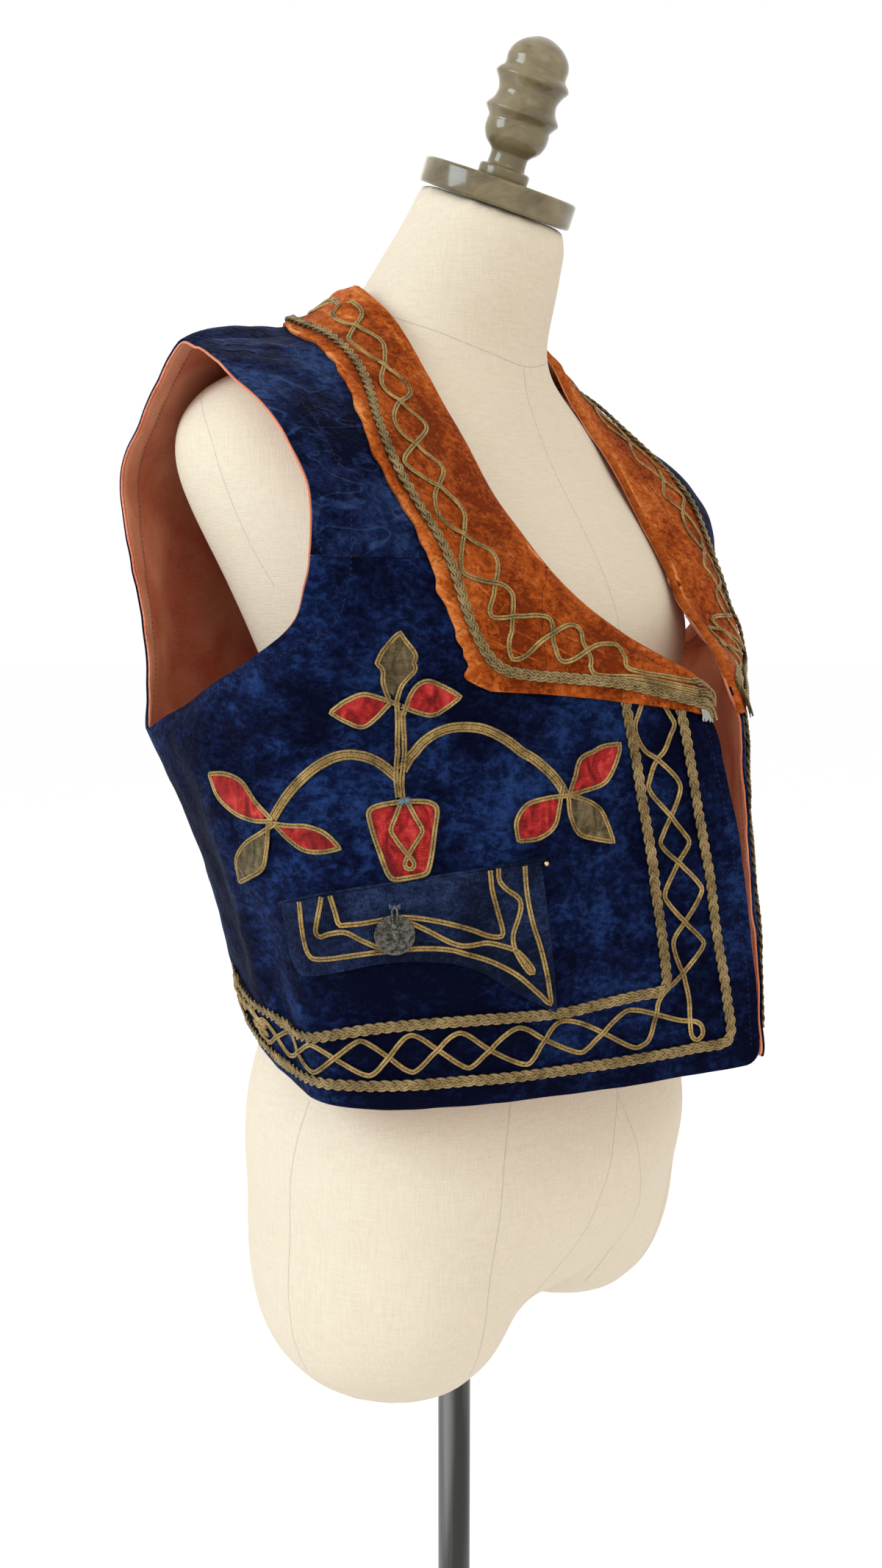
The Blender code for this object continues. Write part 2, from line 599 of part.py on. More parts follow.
def make_collar_trim(side, collection):
    """The braid that follows the collar's outer edge and the lattice inside it."""
    collar = Collar(side)
    levels = side.front.table["level"]
    edge = [(from_edge, COLLAR_BRAID_LEVEL) for from_edge in COLLAR_BRAID_FOOT]
    for row in collar.rows:
        level = np.interp(row, range(len(levels)), levels)
        if level > COLLAR_BRAID_LEVEL:
            edge.append((side.inset(level) + collar.band(row) - COLLAR_BRAID_INSET, level))
    for name, on_front, on_back, width, thickness in (
            ("collar_braid", edge, COLLAR_BRAID_BACK, BRAID_WIDTH, BRAID),
            ("collar_lattice", smooth(COLLAR_LATTICE), smooth(COLLAR_LATTICE_BACK),
             COLLAR_LATTICE_WIDTH, CORD)):
        places = [side.front_place(place) for place in on_front]
        places += [(side.back, side.back.across_at(distance, row), row)
                   for distance, row in on_back]
        points = ribbon(side, places, width, side.front.side * SEAM_HALF)
        strip(f"{name}_{side.name}", points, COLLAR_TOP + TRIM_LIFT, thickness, "braid",
              collection)


def make_motif(side, collection):
    """The pot with its stem, arches and leaves on one front."""
    for name, path in STEMS.items():
        places = [side.front_place(place) for place in smooth(path)]
        strip(f"{name}_{side.name}", ribbon(side, places, BRAID_WIDTH), LIFT, BRAID, "braid",
              collection)
    for name, (base, tip, width, finish) in LEAVES.items():
        stations = [(part, width * share) for part, share in LEAF_OUTLINE]
        strip(f"{name}_{side.name}", patch(side, base, tip, stations), PATCH_LIFT, APPLIQUE,
              finish, collection)
    strip(f"pot_{side.name}", patch(side, *POT), PATCH_LIFT, APPLIQUE, "red_satin", collection)


def make_pocket(side, collection):
    """The pocket's flap and the button on it."""
    def points(lift):
        return np.array([[side.on_front((from_edge, top + part * (bottom - top)), lift)
                          for part in (0, 1 / 3, 2 / 3, 1)]
                         for from_edge, top, bottom in smooth(FLAP_STATIONS)])

    strip(f"flap_{side.name}", points, LIFT, FLAP, "velvet", collection)
    button = add_cylinder(f"coin_button_{side.name}", BUTTON_RADIUS, 0, BUTTON_THICKNESS,
                          BUTTON_THICKNESS / 4, 28, "silver", collection)
    low = Vector(side.on_front(BUTTON_PLACE, FLAP_TOP + LIFT))
    outwards = Vector(side.on_front(BUTTON_PLACE, 1.0)) - low
    button.matrix_world = (Matrix.Translation(low)
                           @ outwards.to_track_quat("Z", "Y").to_matrix().to_4x4())


# ---------------------------------------------------------------- stand

def ring_points(lateral, forward, height, half_width, half_depth, tilt, squares, sides):
    """A ring of a rounded outline, tilted forwards about its lateral axis;
    squares are how square its front and its back are."""
    points = []
    for i in range(sides):
        angle = 2 * math.pi * i / sides
        cosine, sine = math.cos(angle), math.sin(angle)
        square = squares[0] if sine < 0 else squares[1]
        x = math.copysign(abs(cosine) ** (2 / square), cosine) * half_width
        y = math.copysign(abs(sine) ** (2 / square), sine) * half_depth
        points.append((lateral + x, -forward + y * math.cos(tilt),
                       height + y * math.sin(tilt)))
    return points


def loft(bm, rings):
    """Joins rings of the same count by faces and closes both ends."""
    edges = []
    for ring in rings:
        verts = [bm.verts.new(Vector(point) * CM + Vector((0, 0, FORM_BOTTOM)))
                 for point in ring]
        edges.append([bm.edges.new((verts[i], verts[i - 1])) for i in range(len(verts))])
    for low, high in zip(edges, edges[1:]):
        bmesh.ops.bridge_loops(bm, edges=low + high)
    for end in (edges[0], edges[-1]):
        bmesh.ops.contextual_create(bm, geom=end)


def add_cylinder(name, radius, low, high, bevel, sides, finish, collection):
    bm = bmesh.new()
    bmesh.ops.create_cone(bm, cap_ends=True, segments=sides, radius1=radius,
                          radius2=radius, depth=high - low,
                          matrix=Matrix.Translation((0, 0, (high + low) / 2)))
    if bevel:
        rims = [edge for edge in bm.edges if abs(edge.verts[0].co.z - edge.verts[1].co.z) < 1e-6]
        bmesh.ops.bevel(bm, geom=rims, offset=bevel, segments=2, profile=0.5, affect="EDGES")
    return add_object(bm, name, finish, collection)


def boolean(target, cutter, operation):
    modifier = target.modifiers.new(operation.title(), "BOOLEAN")
    modifier.operation = operation
    modifier.solver = "EXACT"
    modifier.object = cutter


def make_form(parts, cutters):
    """The padded torso with its two leg stumps, bored from below for the pole."""
    bm = bmesh.new()
    rings = [ring_points(0, (front + back) / 2, height, half, (front - back) / 2,
                         math.radians(tilt), (front_square, back_square), FORM_SIDES)
             for height, half, front, back, tilt, front_square, back_square in TORSO_RINGS]
    loft(bm, rings)
    body = add_object(bm, "form_body", "linen", parts)
    for name, side in (("leg_right", -1), ("leg_left", 1)):
        bm = bmesh.new()
        loft(bm, [ring_points(side * LEG_LATERAL, LEG_FORWARD, height, half, depth, 0,
                              (2.0, 2.0), LEG_SIDES)
                  for height, half, depth in LEG_RINGS])
        leg = add_object(bm, name, "linen", cutters)
        boolean(body, leg, "UNION")
    top = FORM_BOTTOM + POLE_SOCKET_DEPTH
    bore = add_cylinder("pole_bore", POLE_RADIUS + GAP, FORM_BOTTOM - 0.05, top, 0, 24,
                        "steel", cutters)
    boolean(body, bore, "DIFFERENCE")


def tilted_place(centre, tilt):
    """The frame of a disc on the neck: its middle, with its Z leaning forwards."""
    place = Vector((0, -centre[0] * CM, FORM_BOTTOM + centre[1] * CM))
    return Matrix.Translation(place) @ Matrix.Rotation(tilt, 4, "X")


def make_neck_cap(collection):
    cap = add_cylinder("neck_cap", CAP_RADIUS, -CAP_THICKNESS / 2, CAP_THICKNESS / 2,
                       CAP_BEVEL, 40, "wood", collection)
    cap.matrix_world = tilted_place(CAP_CENTRE, NECK_TILT)


def make_finial(collection):
    """The turned knob, a profile spun round the cap's axis."""
    mesh = bpy.data.meshes.new("finial")
    start = CAP_THICKNESS / 2 + GAP
    profile = [(radius * CM, 0, start + height * CM) for height, radius in FINIAL_PROFILE]
    profile = [(0, 0, start)] + profile
    edges = [(i, i + 1) for i in range(len(profile) - 1)]
    mesh.from_pydata(profile[::-1], edges, [])
    mesh.materials.append(material("wood", *MATERIALS["wood"]))
    finial = bpy.data.objects.new("finial", mesh)
    collection.objects.link(finial)
    finial.matrix_world = tilted_place(CAP_CENTRE, NECK_TILT)
    screw = finial.modifiers.new("Turned", "SCREW")
    screw.steps = screw.render_steps = 20
    screw.use_merge_vertices = True
    screw.merge_threshold = 0.00005
    screw.use_smooth_shade = True


def make_stand(parts, cutters):
    add_cylinder("base", BASE_RADIUS, 0, BASE_THICKNESS, BASE_RIM, 48, "steel", parts)
    hub = add_cylinder("hub", HUB_RADIUS, BASE_THICKNESS + GAP, BASE_THICKNESS + HUB_HEIGHT,
                       0.003, 24, "steel", parts)
    bore = add_cylinder("hub_bore", POLE_RADIUS + GAP, BASE_THICKNESS - 0.01,
                        BASE_THICKNESS + HUB_HEIGHT + 0.01, 0, 24, "steel", cutters)
    boolean(hub, bore, "DIFFERENCE")
    add_cylinder("pole", POLE_RADIUS, BASE_THICKNESS + GAP,
                 FORM_BOTTOM + POLE_SOCKET_DEPTH - GAP, 0, 24, "steel", parts)
    make_form(parts, cutters)
    make_neck_cap(parts)
    make_finial(parts)


def main():
    for item in list(bpy.data.objects):
        bpy.data.objects.remove(item)
    parts = new_collection("embroidered_folk_vest")
    cutters = new_collection("cutters")
    sides = [Side("right", -1), Side("left", 1)]
    make_stand(parts, cutters)
    make_panels(sides, parts)
    make_borders(sides[0], parts)
    for side in sides:
        make_collar(side, parts)
        make_collar_trim(side, parts)
        make_motif(side, parts)
        make_pocket(side, parts)
    for cutter in cutters.objects:
        cutter.hide_render = True
        cutter.display_type = "WIRE"


if __name__ == "__main__":
    main()
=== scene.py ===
"""The looks of an embroidered folk vest on a limbless dress form.

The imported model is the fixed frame, in metres: +Z up, the wearer facing -Y, so
the wearer's right side is at -X. The tables of the cut pieces are in
centimetres, as a maker would write them: lateral sizes from the middle of the
body, forward sizes towards the wearer's front, heights up from the form's
bottom. A place on a front is its distance from the front edge and its level
over the hem, both measured on the cloth.
"""

from __future__ import annotations

import json
import logging
import math
from dataclasses import dataclass
from enum import Enum
from typing import NamedTuple, Sequence

import bmesh
import bpy
import numpy as np
from mathutils import Matrix, Vector
from mathutils.bvhtree import BVHTree

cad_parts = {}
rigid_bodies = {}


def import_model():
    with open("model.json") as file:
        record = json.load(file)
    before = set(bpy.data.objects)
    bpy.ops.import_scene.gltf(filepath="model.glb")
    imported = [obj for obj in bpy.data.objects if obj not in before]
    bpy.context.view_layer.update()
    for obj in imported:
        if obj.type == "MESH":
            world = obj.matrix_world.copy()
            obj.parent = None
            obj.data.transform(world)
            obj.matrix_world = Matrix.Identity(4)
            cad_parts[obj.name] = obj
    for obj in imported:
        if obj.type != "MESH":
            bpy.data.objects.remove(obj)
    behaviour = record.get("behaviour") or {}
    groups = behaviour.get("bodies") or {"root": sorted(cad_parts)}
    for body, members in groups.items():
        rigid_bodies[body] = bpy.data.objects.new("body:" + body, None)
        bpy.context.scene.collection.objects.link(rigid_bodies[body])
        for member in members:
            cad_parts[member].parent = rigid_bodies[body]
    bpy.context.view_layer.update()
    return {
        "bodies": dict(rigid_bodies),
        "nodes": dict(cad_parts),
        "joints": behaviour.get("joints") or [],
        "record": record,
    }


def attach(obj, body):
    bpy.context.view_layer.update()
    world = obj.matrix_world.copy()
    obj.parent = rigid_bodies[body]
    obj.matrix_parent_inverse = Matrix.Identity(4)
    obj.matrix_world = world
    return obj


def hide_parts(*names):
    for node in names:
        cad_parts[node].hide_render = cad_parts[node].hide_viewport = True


LOG = logging.getLogger("vest")

Colour = tuple[float, float, float]
Place = tuple[float, float]

CM = 0.01
MM = 0.001
BODY = "root"
FORM_BOTTOM = 0.72


class Hand(Enum):
    """A side of the wearer's body, with the sign of its X."""

    RIGHT = -1
    LEFT = 1

    @property
    def word(self) -> str:
        """The side's word in the names of pieces."""
        return self.name.lower()


# ---------------------------------------------------------------- shading


class Value:
    """A shader socket that takes arithmetic."""

    def __init__(self, shader: Shader, socket: bpy.types.NodeSocket) -> None:
        """Keeps the socket and the shader it belongs to."""
        self.shader = shader
        self.socket = socket

    def _math(self, operation: str, first: object, second: object = 0.0) -> Value:
        """Adds a Math node."""
        return self.shader.node("ShaderNodeMath", {"operation": operation}, {0: first, 1: second})

    def __add__(self, other: object) -> Value:
        """self + other."""
        return self._math("ADD", self, other)

    __radd__ = __add__

    def __sub__(self, other: object) -> Value:
        """self - other."""
        return self._math("SUBTRACT", self, other)

    def __rsub__(self, other: object) -> Value:
        """other - self."""
        return self._math("SUBTRACT", other, self)

    def __mul__(self, other: object) -> Value:
        """self * other."""
        return self._math("MULTIPLY", self, other)

    __rmul__ = __mul__

    def __lt__(self, other: object) -> Value:
        """1 where self is under other, else 0."""
        return self._math("LESS_THAN", self, other)

    def __abs__(self) -> Value:
        """The size of self."""
        return self._math("ABSOLUTE", self)

    def wave(self, period: float) -> Value:
        """A sine from 0 to 1 with this period."""
        return self._math("SINE", self * (2 * math.pi / period)) * 0.5 + 0.5

    def cycle(self, period: float) -> Value:
        """How far into each period self is, from 0 to 1."""
        return self._math("FRACT", self * (1 / period))

    def between(self, low: float, high: float) -> Value:
        """A smooth step from 0 at low to 1 at high."""
        return self.shader.node("ShaderNodeMapRange", {"interpolation_type": "SMOOTHSTEP"},
                                {"Value": self, "From Min": low, "From Max": high})


class Shader:
    """A Principled material under construction."""

    def __init__(self, name: str) -> None:
        """Starts the material with its Principled node.

        Args:
            name: The material's name.
        """
        self.material = bpy.data.materials.new(name)
        self.material.use_nodes = True
        self.tree = self.material.node_tree
        self.principled = self.tree.nodes["Principled BSDF"]

    def node(self, kind: str, settings: dict[str, object], inputs: dict[object, object],
             output: object = 0) -> Value:
        """Adds a node.

        Args:
            kind: The node's type.
            settings: Its own settings, set first; "stops" fills a colour ramp.
            inputs: Values or links of its sockets, by name or number.
            output: The socket to read.

        Returns:
            The output socket.
        """
        made = self.tree.nodes.new(kind)
        for key, value in settings.items():
            if key == "stops":
                self._fill_ramp(made.color_ramp, value)
            else:
                setattr(made, key, value)
        for key, value in inputs.items():
            if isinstance(value, Value):
                self.tree.links.new(value.socket, made.inputs[key])
            else:
                made.inputs[key].default_value = value
        return Value(self, made.outputs[output])

    @staticmethod
    def _fill_ramp(ramp: bpy.types.ColorRamp, stops: Sequence[tuple[float, Colour]]) -> None:
        """Gives a colour ramp its stops.

        Args:
            ramp: The ramp.
            stops: Positions with their colours.
        """
        while len(ramp.elements) < len(stops):
            ramp.elements.new(1.0)
        for element, (position, colour) in zip(ramp.elements, stops):
            element.position = position
            element.color = (*colour, 1.0)

    def place(self, stretch: Colour = (1.0, 1.0, 1.0)) -> Value:
        """Object coordinates, each axis times its stretch."""
        spot = self.node("ShaderNodeTexCoord", {}, {}, "Object")
        return self.node("ShaderNodeMapping", {}, {"Vector": spot, "Scale": stretch})

    def along(self, uv_map: str = "cut") -> tuple[Value, Value]:
        """Both readings of a UV map. In "cut" they are metres across and up a cloth,
        or metres along a cord and part of the way round it."""
        split = {"Vector": self.node("ShaderNodeUVMap", {"uv_map": uv_map}, {})}
        return (self.node("ShaderNodeSeparateXYZ", {}, split, "X"),
                self.node("ShaderNodeSeparateXYZ", {}, split, "Y"))

    def noise(self, place: Value, scale: float, detail: float = 2.0, distortion: float = 0.0,
              roughness: float = 0.5) -> Value:
        """Soft noise from 0 to 1; scale is in features a metre."""
        return self.node("ShaderNodeTexNoise", {},
                         {"Vector": place, "Scale": scale, "Detail": detail,
                          "Distortion": distortion, "Roughness": roughness})

    def ramp(self, value: Value, *stops: tuple[float, Colour]) -> Value:
        """A colour read off a ramp."""
        return self.node("ShaderNodeValToRGB", {"stops": stops}, {"Fac": value})

    def mix(self, factor: object, first: object, second: object) -> Value:
        """A colour between two."""
        first, second = ((*c, 1.0) if isinstance(c, tuple) else c for c in (first, second))
        return self.node("ShaderNodeMix", {"data_type": "RGBA"},
                         {0: factor, 6: first, 7: second}, 2)

    def bump(self, height: Value, distance: float) -> Value:
        """A normal bent by a height from 0 to 1 that stands this many metres."""
        return self.node("ShaderNodeBump", {}, {"Height": height, "Distance": distance})

    def surface(self, **sockets: object) -> bpy.types.Material:
        """Sets the Principled node's sockets, named with _ for a space.

        Args:
            sockets: What each socket takes: a mask, a colour or a number.

        Returns:
            The finished material.
        """
        for key, value in sockets.items():
            socket = self.principled.inputs[key.replace("_", " ")]
            if isinstance(value, Value):
                self.tree.links.new(value.socket, socket)
            else:
                socket.default_value = (*value, 1.0) if isinstance(value, tuple) else value
        return self.material


@dataclass(frozen=True)
class Finish:
    """A finish of one material slot. Each kind paints itself on a shader."""

    name: str
    slot: str

    def material(self) -> bpy.types.Material:
        """The finish's material, made once."""
        return bpy.data.materials.get(self.name) or self.paint(Shader(self.name))

    def paint(self, shader: Shader) -> bpy.types.Material:
        """Builds the nodes.

        Args:
            shader: The material under construction.

        Returns:
            The finished material.
        """
        raise NotImplementedError


@dataclass(frozen=True)
class CrushedVelvet(Finish):
    """Velvet whose pile lies in pressed patches; the light the patches catch is painted into its colour."""

    deep: Colour
    middle: Colour
    light: Colour
    sheen: Colour
    patches: float = 15.0
    flecks: float = 210.0
    contrast: float = 1.0
    sheen_weight: float = 0.03
    sheen_creases: float = 0.4
    ribs: float = 0.0
    worn: float = 0.0
    pile: float = 1100.0
    depth: float = 0.0018

    def paint(self, shader: Shader) -> bpy.types.Material:
        """Broad pressed patches, crushed lines, flecks and the grain of the pile, with their sheen painted
        in: lighter patches and crease lines, darker dents.

        Args:
            shader: The material under construction.

        Returns:
            The finished material.
        """
        slanted = shader.place((1.0, 0.8, 1.3))
        patches = shader.noise(shader.place((1.0, 1.0, 0.75)), self.patches, 2.0, 0.3, 0.42)
        folds = shader.noise(slanted, self.patches * 3.6, 2.0, 0.7, 0.5)
        dents = shader.noise(slanted, self.patches * 8.0, 2.0, 0.9).between(0.53, 0.62)
        flecks = shader.noise(slanted, self.flecks, 3.0, 0.2, 0.7)
        pile = shader.noise(shader.place((1.0, 1.0, 0.25)), self.pile)
        crushed = shader.noise(shader.place((0.8, 1.0, 1.7)), self.patches * 2.2, 2.0, 0.5)
        lines = 1.0 - abs(crushed - 0.5).between(0.0, 0.030)
        crush = flecks.between(0.40, 0.62) - 0.5
        # painted sheen and shade: lighter patches, folds and crease lines and darker dents stand for light
        # caught by the lie of the pile
        lie = ((patches - 0.5) * 0.85 + (folds - 0.5) * 0.45) * (1.85 * self.contrast) + 0.42
        shade = lie + crush * (0.24 * self.contrast) + (pile - 0.5) * 0.2
        shade = shade + (lines * self.sheen_creases - dents * folds) * 0.2
        height = lie * 0.45 + folds * 0.3 + flecks * 0.4 + pile * 0.08
        height = height + lines * (0.35 * self.sheen_creases) - dents * 0.3
        if self.ribs:
            ribs = shader.along()[0].wave(self.ribs)
            shade = shade + (ribs - 0.5) * 0.16
            height = height + ribs * 0.2
        if self.worn:
            u, v = shader.along()
            rim = shader.along("rim")[0]
            lengthwise = shader.node("ShaderNodeCombineXYZ", {}, {"X": u, "Y": v * 0.16})
            streaks = shader.noise(lengthwise, 150.0, 3.0, 0.3).between(0.56, 0.74)
            shade = shade + self.worn * (rim * 0.26 + streaks * (rim * 0.5 + 0.22) - 0.06)
            height = height + streaks * 0.3
        # the light stop is the brightest painted sheen
        colour = shader.ramp(shade, (0.22, self.deep), (0.5, self.middle), (0.92, self.light))
        return shader.surface(
            Base_Color=colour, Roughness=0.8 - flecks * 0.2, Normal=shader.bump(height, self.depth),
            Sheen_Weight=self.sheen_weight, Sheen_Roughness=0.3, Sheen_Tint=self.sheen,
            Specular_IOR_Level=0.03)


@dataclass(frozen=True)
class Cotton(Finish):
    """Plain woven cotton, faded in places."""

    colour: Colour
    faded: Colour
    thread: float = 0.0007
    depth: float = 0.00025

    def paint(self, shader: Shader) -> bpy.types.Material:
        """A fine weave over broad fading.

        Args:
            shader: The material under construction.

        Returns:
            The finished material.
        """
        u, v = shader.along()
        weave = u.wave(self.thread) * v.wave(self.thread)
        fade = shader.noise(shader.place(), 18.0, 4.0, 0.5)
        slub = shader.noise(shader.place((1.0, 1.0, 7.0)), 260.0, 2.0)
        tone = fade * 1.1 + slub * 0.3 - weave * 0.12 - 0.12
        colour = shader.ramp(tone, (0.35, self.colour), (0.72, self.faded))
        return shader.surface(Base_Color=colour, Roughness=0.86, Sheen_Weight=0.03,
                              Normal=shader.bump(weave * 0.6 + slub, self.depth),
                              Specular_IOR_Level=0.06)


@dataclass(frozen=True)
class Cording(Finish):
    """Dull gold cord with a twist; a soutache also has a stitched groove."""

    dark: Colour
    middle: Colour
    bright: Colour
    stitched: bool = False
    pitch: float = 0.0017
    lean: float = 0.013
    stitch: float = 0.0030
    groove: float = 4 / 11
    sewn: float = 0.68
    depth: float = 0.00018

    def paint(self, shader: Shader) -> bpy.types.Material:
        """Twisted threads with glints, running stitches down the middle, and shade painted into the groove
        and down the cords' sides.

        Args:
            shader: The material under construction.

        Returns:
            The finished material.
        """
        u, v = shader.along()
        lean = abs(v - self.groove) * self.lean
        twist = (u + lean).wave(self.pitch)
        age = shader.noise(shader.place(), 90.0, 4.0, 0.4)
        glint = shader.noise(shader.place(), 900.0, 2.0, 0.0, 0.6)
        tone = twist * 0.2 + age * 0.75 + (glint - 0.5) * 0.55 - 0.03
        colour = shader.ramp(tone, (0.16, self.dark), (0.46, self.middle), (0.82, self.bright))
        height = twist
        if self.stitched:
            # painted shade in the groove, where the stitches also lie
            shaded_groove = 1.0 - abs(v - self.groove).between(0.030, 0.075)
            sewn = shaded_groove * (u.cycle(self.stitch) < self.sewn)
            colour = shader.mix(shaded_groove * 0.45 + sewn * 0.5, colour, self.dark)
            height = twist * 0.7 - sewn
        else:
            # painted shade: each cord darkens away from its top, into the gaps of the plait
            flank_shade = abs(v - 0.25).between(0.08, 0.24)
            colour = shader.mix(flank_shade * 0.75, colour, self.dark)
        return shader.surface(Base_Color=colour, Roughness=0.62 - glint * 0.2,
                              Normal=shader.bump(height, self.depth), Sheen_Weight=0.03,
                              Specular_IOR_Level=0.15)


@dataclass(frozen=True)
class Satin(Finish):
    """Worn satin with drawn threads across it."""

    dark: Colour
    middle: Colour
    bright: Colour
    thread: float = 0.0008
    depth: float = 0.0011

    def paint(self, shader: Shader) -> bpy.types.Material:
        """Fine threads, soft wrinkles and a silky gloss, with the wrinkles' highlights and shade painted
        into the colour.

        Args:
            shader: The material under construction.

        Returns:
            The finished material.
        """
        u, v = shader.along()
        threads = (u + v).wave(self.thread)
        worn = shader.noise(shader.place((0.5, 0.5, 2.5)), 560.0, 3.0, 0.6)
        folds = shader.noise(shader.place((1.0, 1.0, 0.55)), 130.0, 3.0, 1.2)
        # painted highlights and shade: the fold noise sweeps the colour between the dark and bright stops,
        # as light falling on wrinkles would
        tone = threads * 0.08 + worn * 0.42 + folds * 1.3 - 0.48
        colour = shader.ramp(tone, (0.24, self.dark), (0.48, self.middle), (0.82, self.bright))
        return shader.surface(Base_Color=colour, Roughness=0.6 - folds * 0.2,
                              Normal=shader.bump(threads * 0.1 + folds + worn * 0.4, self.depth),
                              Sheen_Weight=0.02, Specular_IOR_Level=0.12)


@dataclass(frozen=True)
class Linen(Finish):
    """The dress form's smooth woven cover."""

    colour: Colour
    shade: Colour
    thread: float = 0.0011
    depth: float = 0.00016

    def paint(self, shader: Shader) -> bpy.types.Material:
        """A visible plain weave with a few slubs.

        Args:
            shader: The material under construction.

        Returns:
            The finished material.
        """
        u, v = shader.along()
        weave = u.wave(self.thread) * 0.5 + v.wave(self.thread) * 0.5
        across = shader.noise(shader.place((0.07, 0.07, 1.0)), 1300.0, 2.0)
        along = shader.noise(shader.place((1.0, 1.0, 0.05)), 1100.0, 2.0)
        drift = shader.noise(shader.place(), 7.0, 3.0)
        tone = weave * 0.12 + across * 0.5 + along * 0.6 + drift * 0.4 - 0.28
        colour = shader.mix(tone.between(0.15, 0.85), self.shade, self.colour)
        return shader.surface(Base_Color=colour, Roughness=0.9, Sheen_Weight=0.03,
                              Normal=shader.bump(weave * 0.5 + across + along, self.depth),
                              Specular_IOR_Level=0.06)


@dataclass(frozen=True)
class LacqueredWood(Finish):
    """Grey-brown turned wood under a pearly lacquer."""

    dark: Colour
    middle: Colour
    bright: Colour
    bare: Colour
    worn_from: float = 99.0
    depth: float = 0.0004

    def paint(self, shader: Shader) -> bpy.types.Material:
        """Wavy grain under clear coat; over worn_from, in metres, it is chipped.

        Args:
            shader: The material under construction.

        Returns:
            The finished material.
        """
        grain = shader.noise(shader.place((1.0, 1.0, 1.6)), 34.0, 5.0, 0.9, 0.6)
        cloud = shader.noise(shader.place(), 22.0, 3.0, 0.5)
        tone = grain * 0.6 + cloud * 0.5 - 0.05
        colour = shader.ramp(tone, (0.3, self.dark), (0.5, self.middle), (0.72, self.bright))
        height = shader.node("ShaderNodeSeparateXYZ", {}, {"Vector": shader.place()}, "Z")
        chips = shader.noise(shader.place(), 420.0, 4.0, 0.8, 0.7)
        chipped = (height - self.worn_from) * 26.0 + chips
        bare = chipped.between(0.56, 0.66)
        return shader.surface(Base_Color=shader.mix(bare, colour, self.bare),
                              Roughness=bare * 0.45 + 0.2, Coat_Weight=0.35 - bare * 0.35,
                              Coat_Roughness=0.06, Normal=shader.bump(1.0 - bare, self.depth),
                              Specular_IOR_Level=0.3)


@dataclass(frozen=True)
class Metal(Finish):
    """Metal with fine marks and darker patches of tarnish."""

    colour: Colour
    dark: Colour
    roughness: float
    marks: float = 300.0
    stretch: Colour = (1.0, 1.0, 0.05)
    depth: float = 0.00006

    def paint(self, shader: Shader) -> bpy.types.Material:
        """Drawn marks and a soft tarnish.

        Args:
            shader: The material under construction.

        Returns:
            The finished material.
        """
        marks = shader.noise(shader.place(self.stretch), self.marks, 4.0)
        tarnish = shader.noise(shader.place(self.stretch), self.marks * 0.4, 3.0, 0.4)
        colour = shader.mix(tarnish.between(0.35, 0.65), self.dark, self.colour)
        return shader.surface(Base_Color=colour, Metallic=1.0,
                              Roughness=marks * 0.25 + (self.roughness - 0.12),
                              Normal=shader.bump(marks, self.depth))


@dataclass(frozen=True)
class Plain(Finish):
    """One colour that varies a little, as sewing thread or paint does."""

    colour: Colour
    shade: float = 0.6
    grain: float = 400.0
    detail: float = 2.0
    roughness: float = 0.8
    gloss: float = 0.5
    depth: float = 0.0001

    def paint(self, shader: Shader) -> bpy.types.Material:
        """The colour and a darker shade of it, mixed by soft noise.

        Args:
            shader: The material under construction.

        Returns:
            The finished material.
        """
        tone = shader.noise(shader.place(), self.grain, self.detail)
        darker = tuple(self.shade * channel for channel in self.colour)
        return shader.surface(Base_Color=shader.mix(tone, darker, self.colour),
                              Roughness=self.roughness, Specular_IOR_Level=self.gloss,
                              Normal=shader.bump(tone, self.depth))


VELVET = CrushedVelvet(
    "crushed_velvet", "velvet", (0.0008, 0.0014, 0.01), (0.0026, 0.0062, 0.03),
    (0.0115, 0.031, 0.112), (0.3, 0.45, 1))
YOKE_VELVET = CrushedVelvet(
    "yoke_velvet", "velvet", (0.001, 0.0019, 0.012), (0.0052, 0.011, 0.044),
    (0.022, 0.046, 0.13), (0.4, 0.5, 1.0), patches=14.0, contrast=0.85, sheen_creases=1.5)
FLAP_VELVET = CrushedVelvet(
    "flap_velvet", "velvet", (0.0038, 0.006, 0.017), (0.0105, 0.0175, 0.052),
    (0.035, 0.056, 0.12), (0.4, 0.5, 1.0), patches=24.0, flecks=420.0, contrast=0.8, ribs=0.0013)
COLLAR_VELVET = CrushedVelvet(
    "pressed_orange_velvet", "collar_velvet", (0.15, 0.02, 0.0022), (0.37, 0.073, 0.0095),
    (0.66, 0.23, 0.065), (1.0, 0.6, 0.35), patches=30.0, flecks=220.0, contrast=0.5,
    sheen_weight=0.05, sheen_creases=0.2, worn=1.0)
ROLLED_VELVET = CrushedVelvet(
    "rolled_orange_velvet", "collar_velvet", (0.25, 0.045, 0.006), (0.42, 0.1, 0.018),
    (0.66, 0.23, 0.065), (1.0, 0.6, 0.35), contrast=0.5, sheen_weight=0.05)
LINING = Cotton("lining_cotton", "lining", (0.52, 0.122, 0.058), (0.72, 0.28, 0.155))
FACING = Cotton("facing_cotton", "lining", (0.58, 0.19, 0.1), (0.78, 0.36, 0.22))
BRAID = Cording("plaited_cord", "braid", (0.028, 0.017, 0.005), (0.29, 0.192, 0.074),
                (0.54, 0.39, 0.185))
SOUTACHE = Cording("soutache", "braid", (0.022, 0.012, 0.004), (0.3, 0.19, 0.062),
                   (0.7, 0.47, 0.17), stitched=True)
RED_SATIN = Satin("worn_red_satin", "red_satin", (0.11, 0.002, 0.002), (0.31, 0.0085, 0.0072),
                  (0.6, 0.06, 0.05))
OLIVE_SATIN = Satin("worn_olive_satin", "olive_satin", (0.04, 0.026, 0.01), (0.105, 0.074, 0.032),
                    (0.215, 0.165, 0.085))
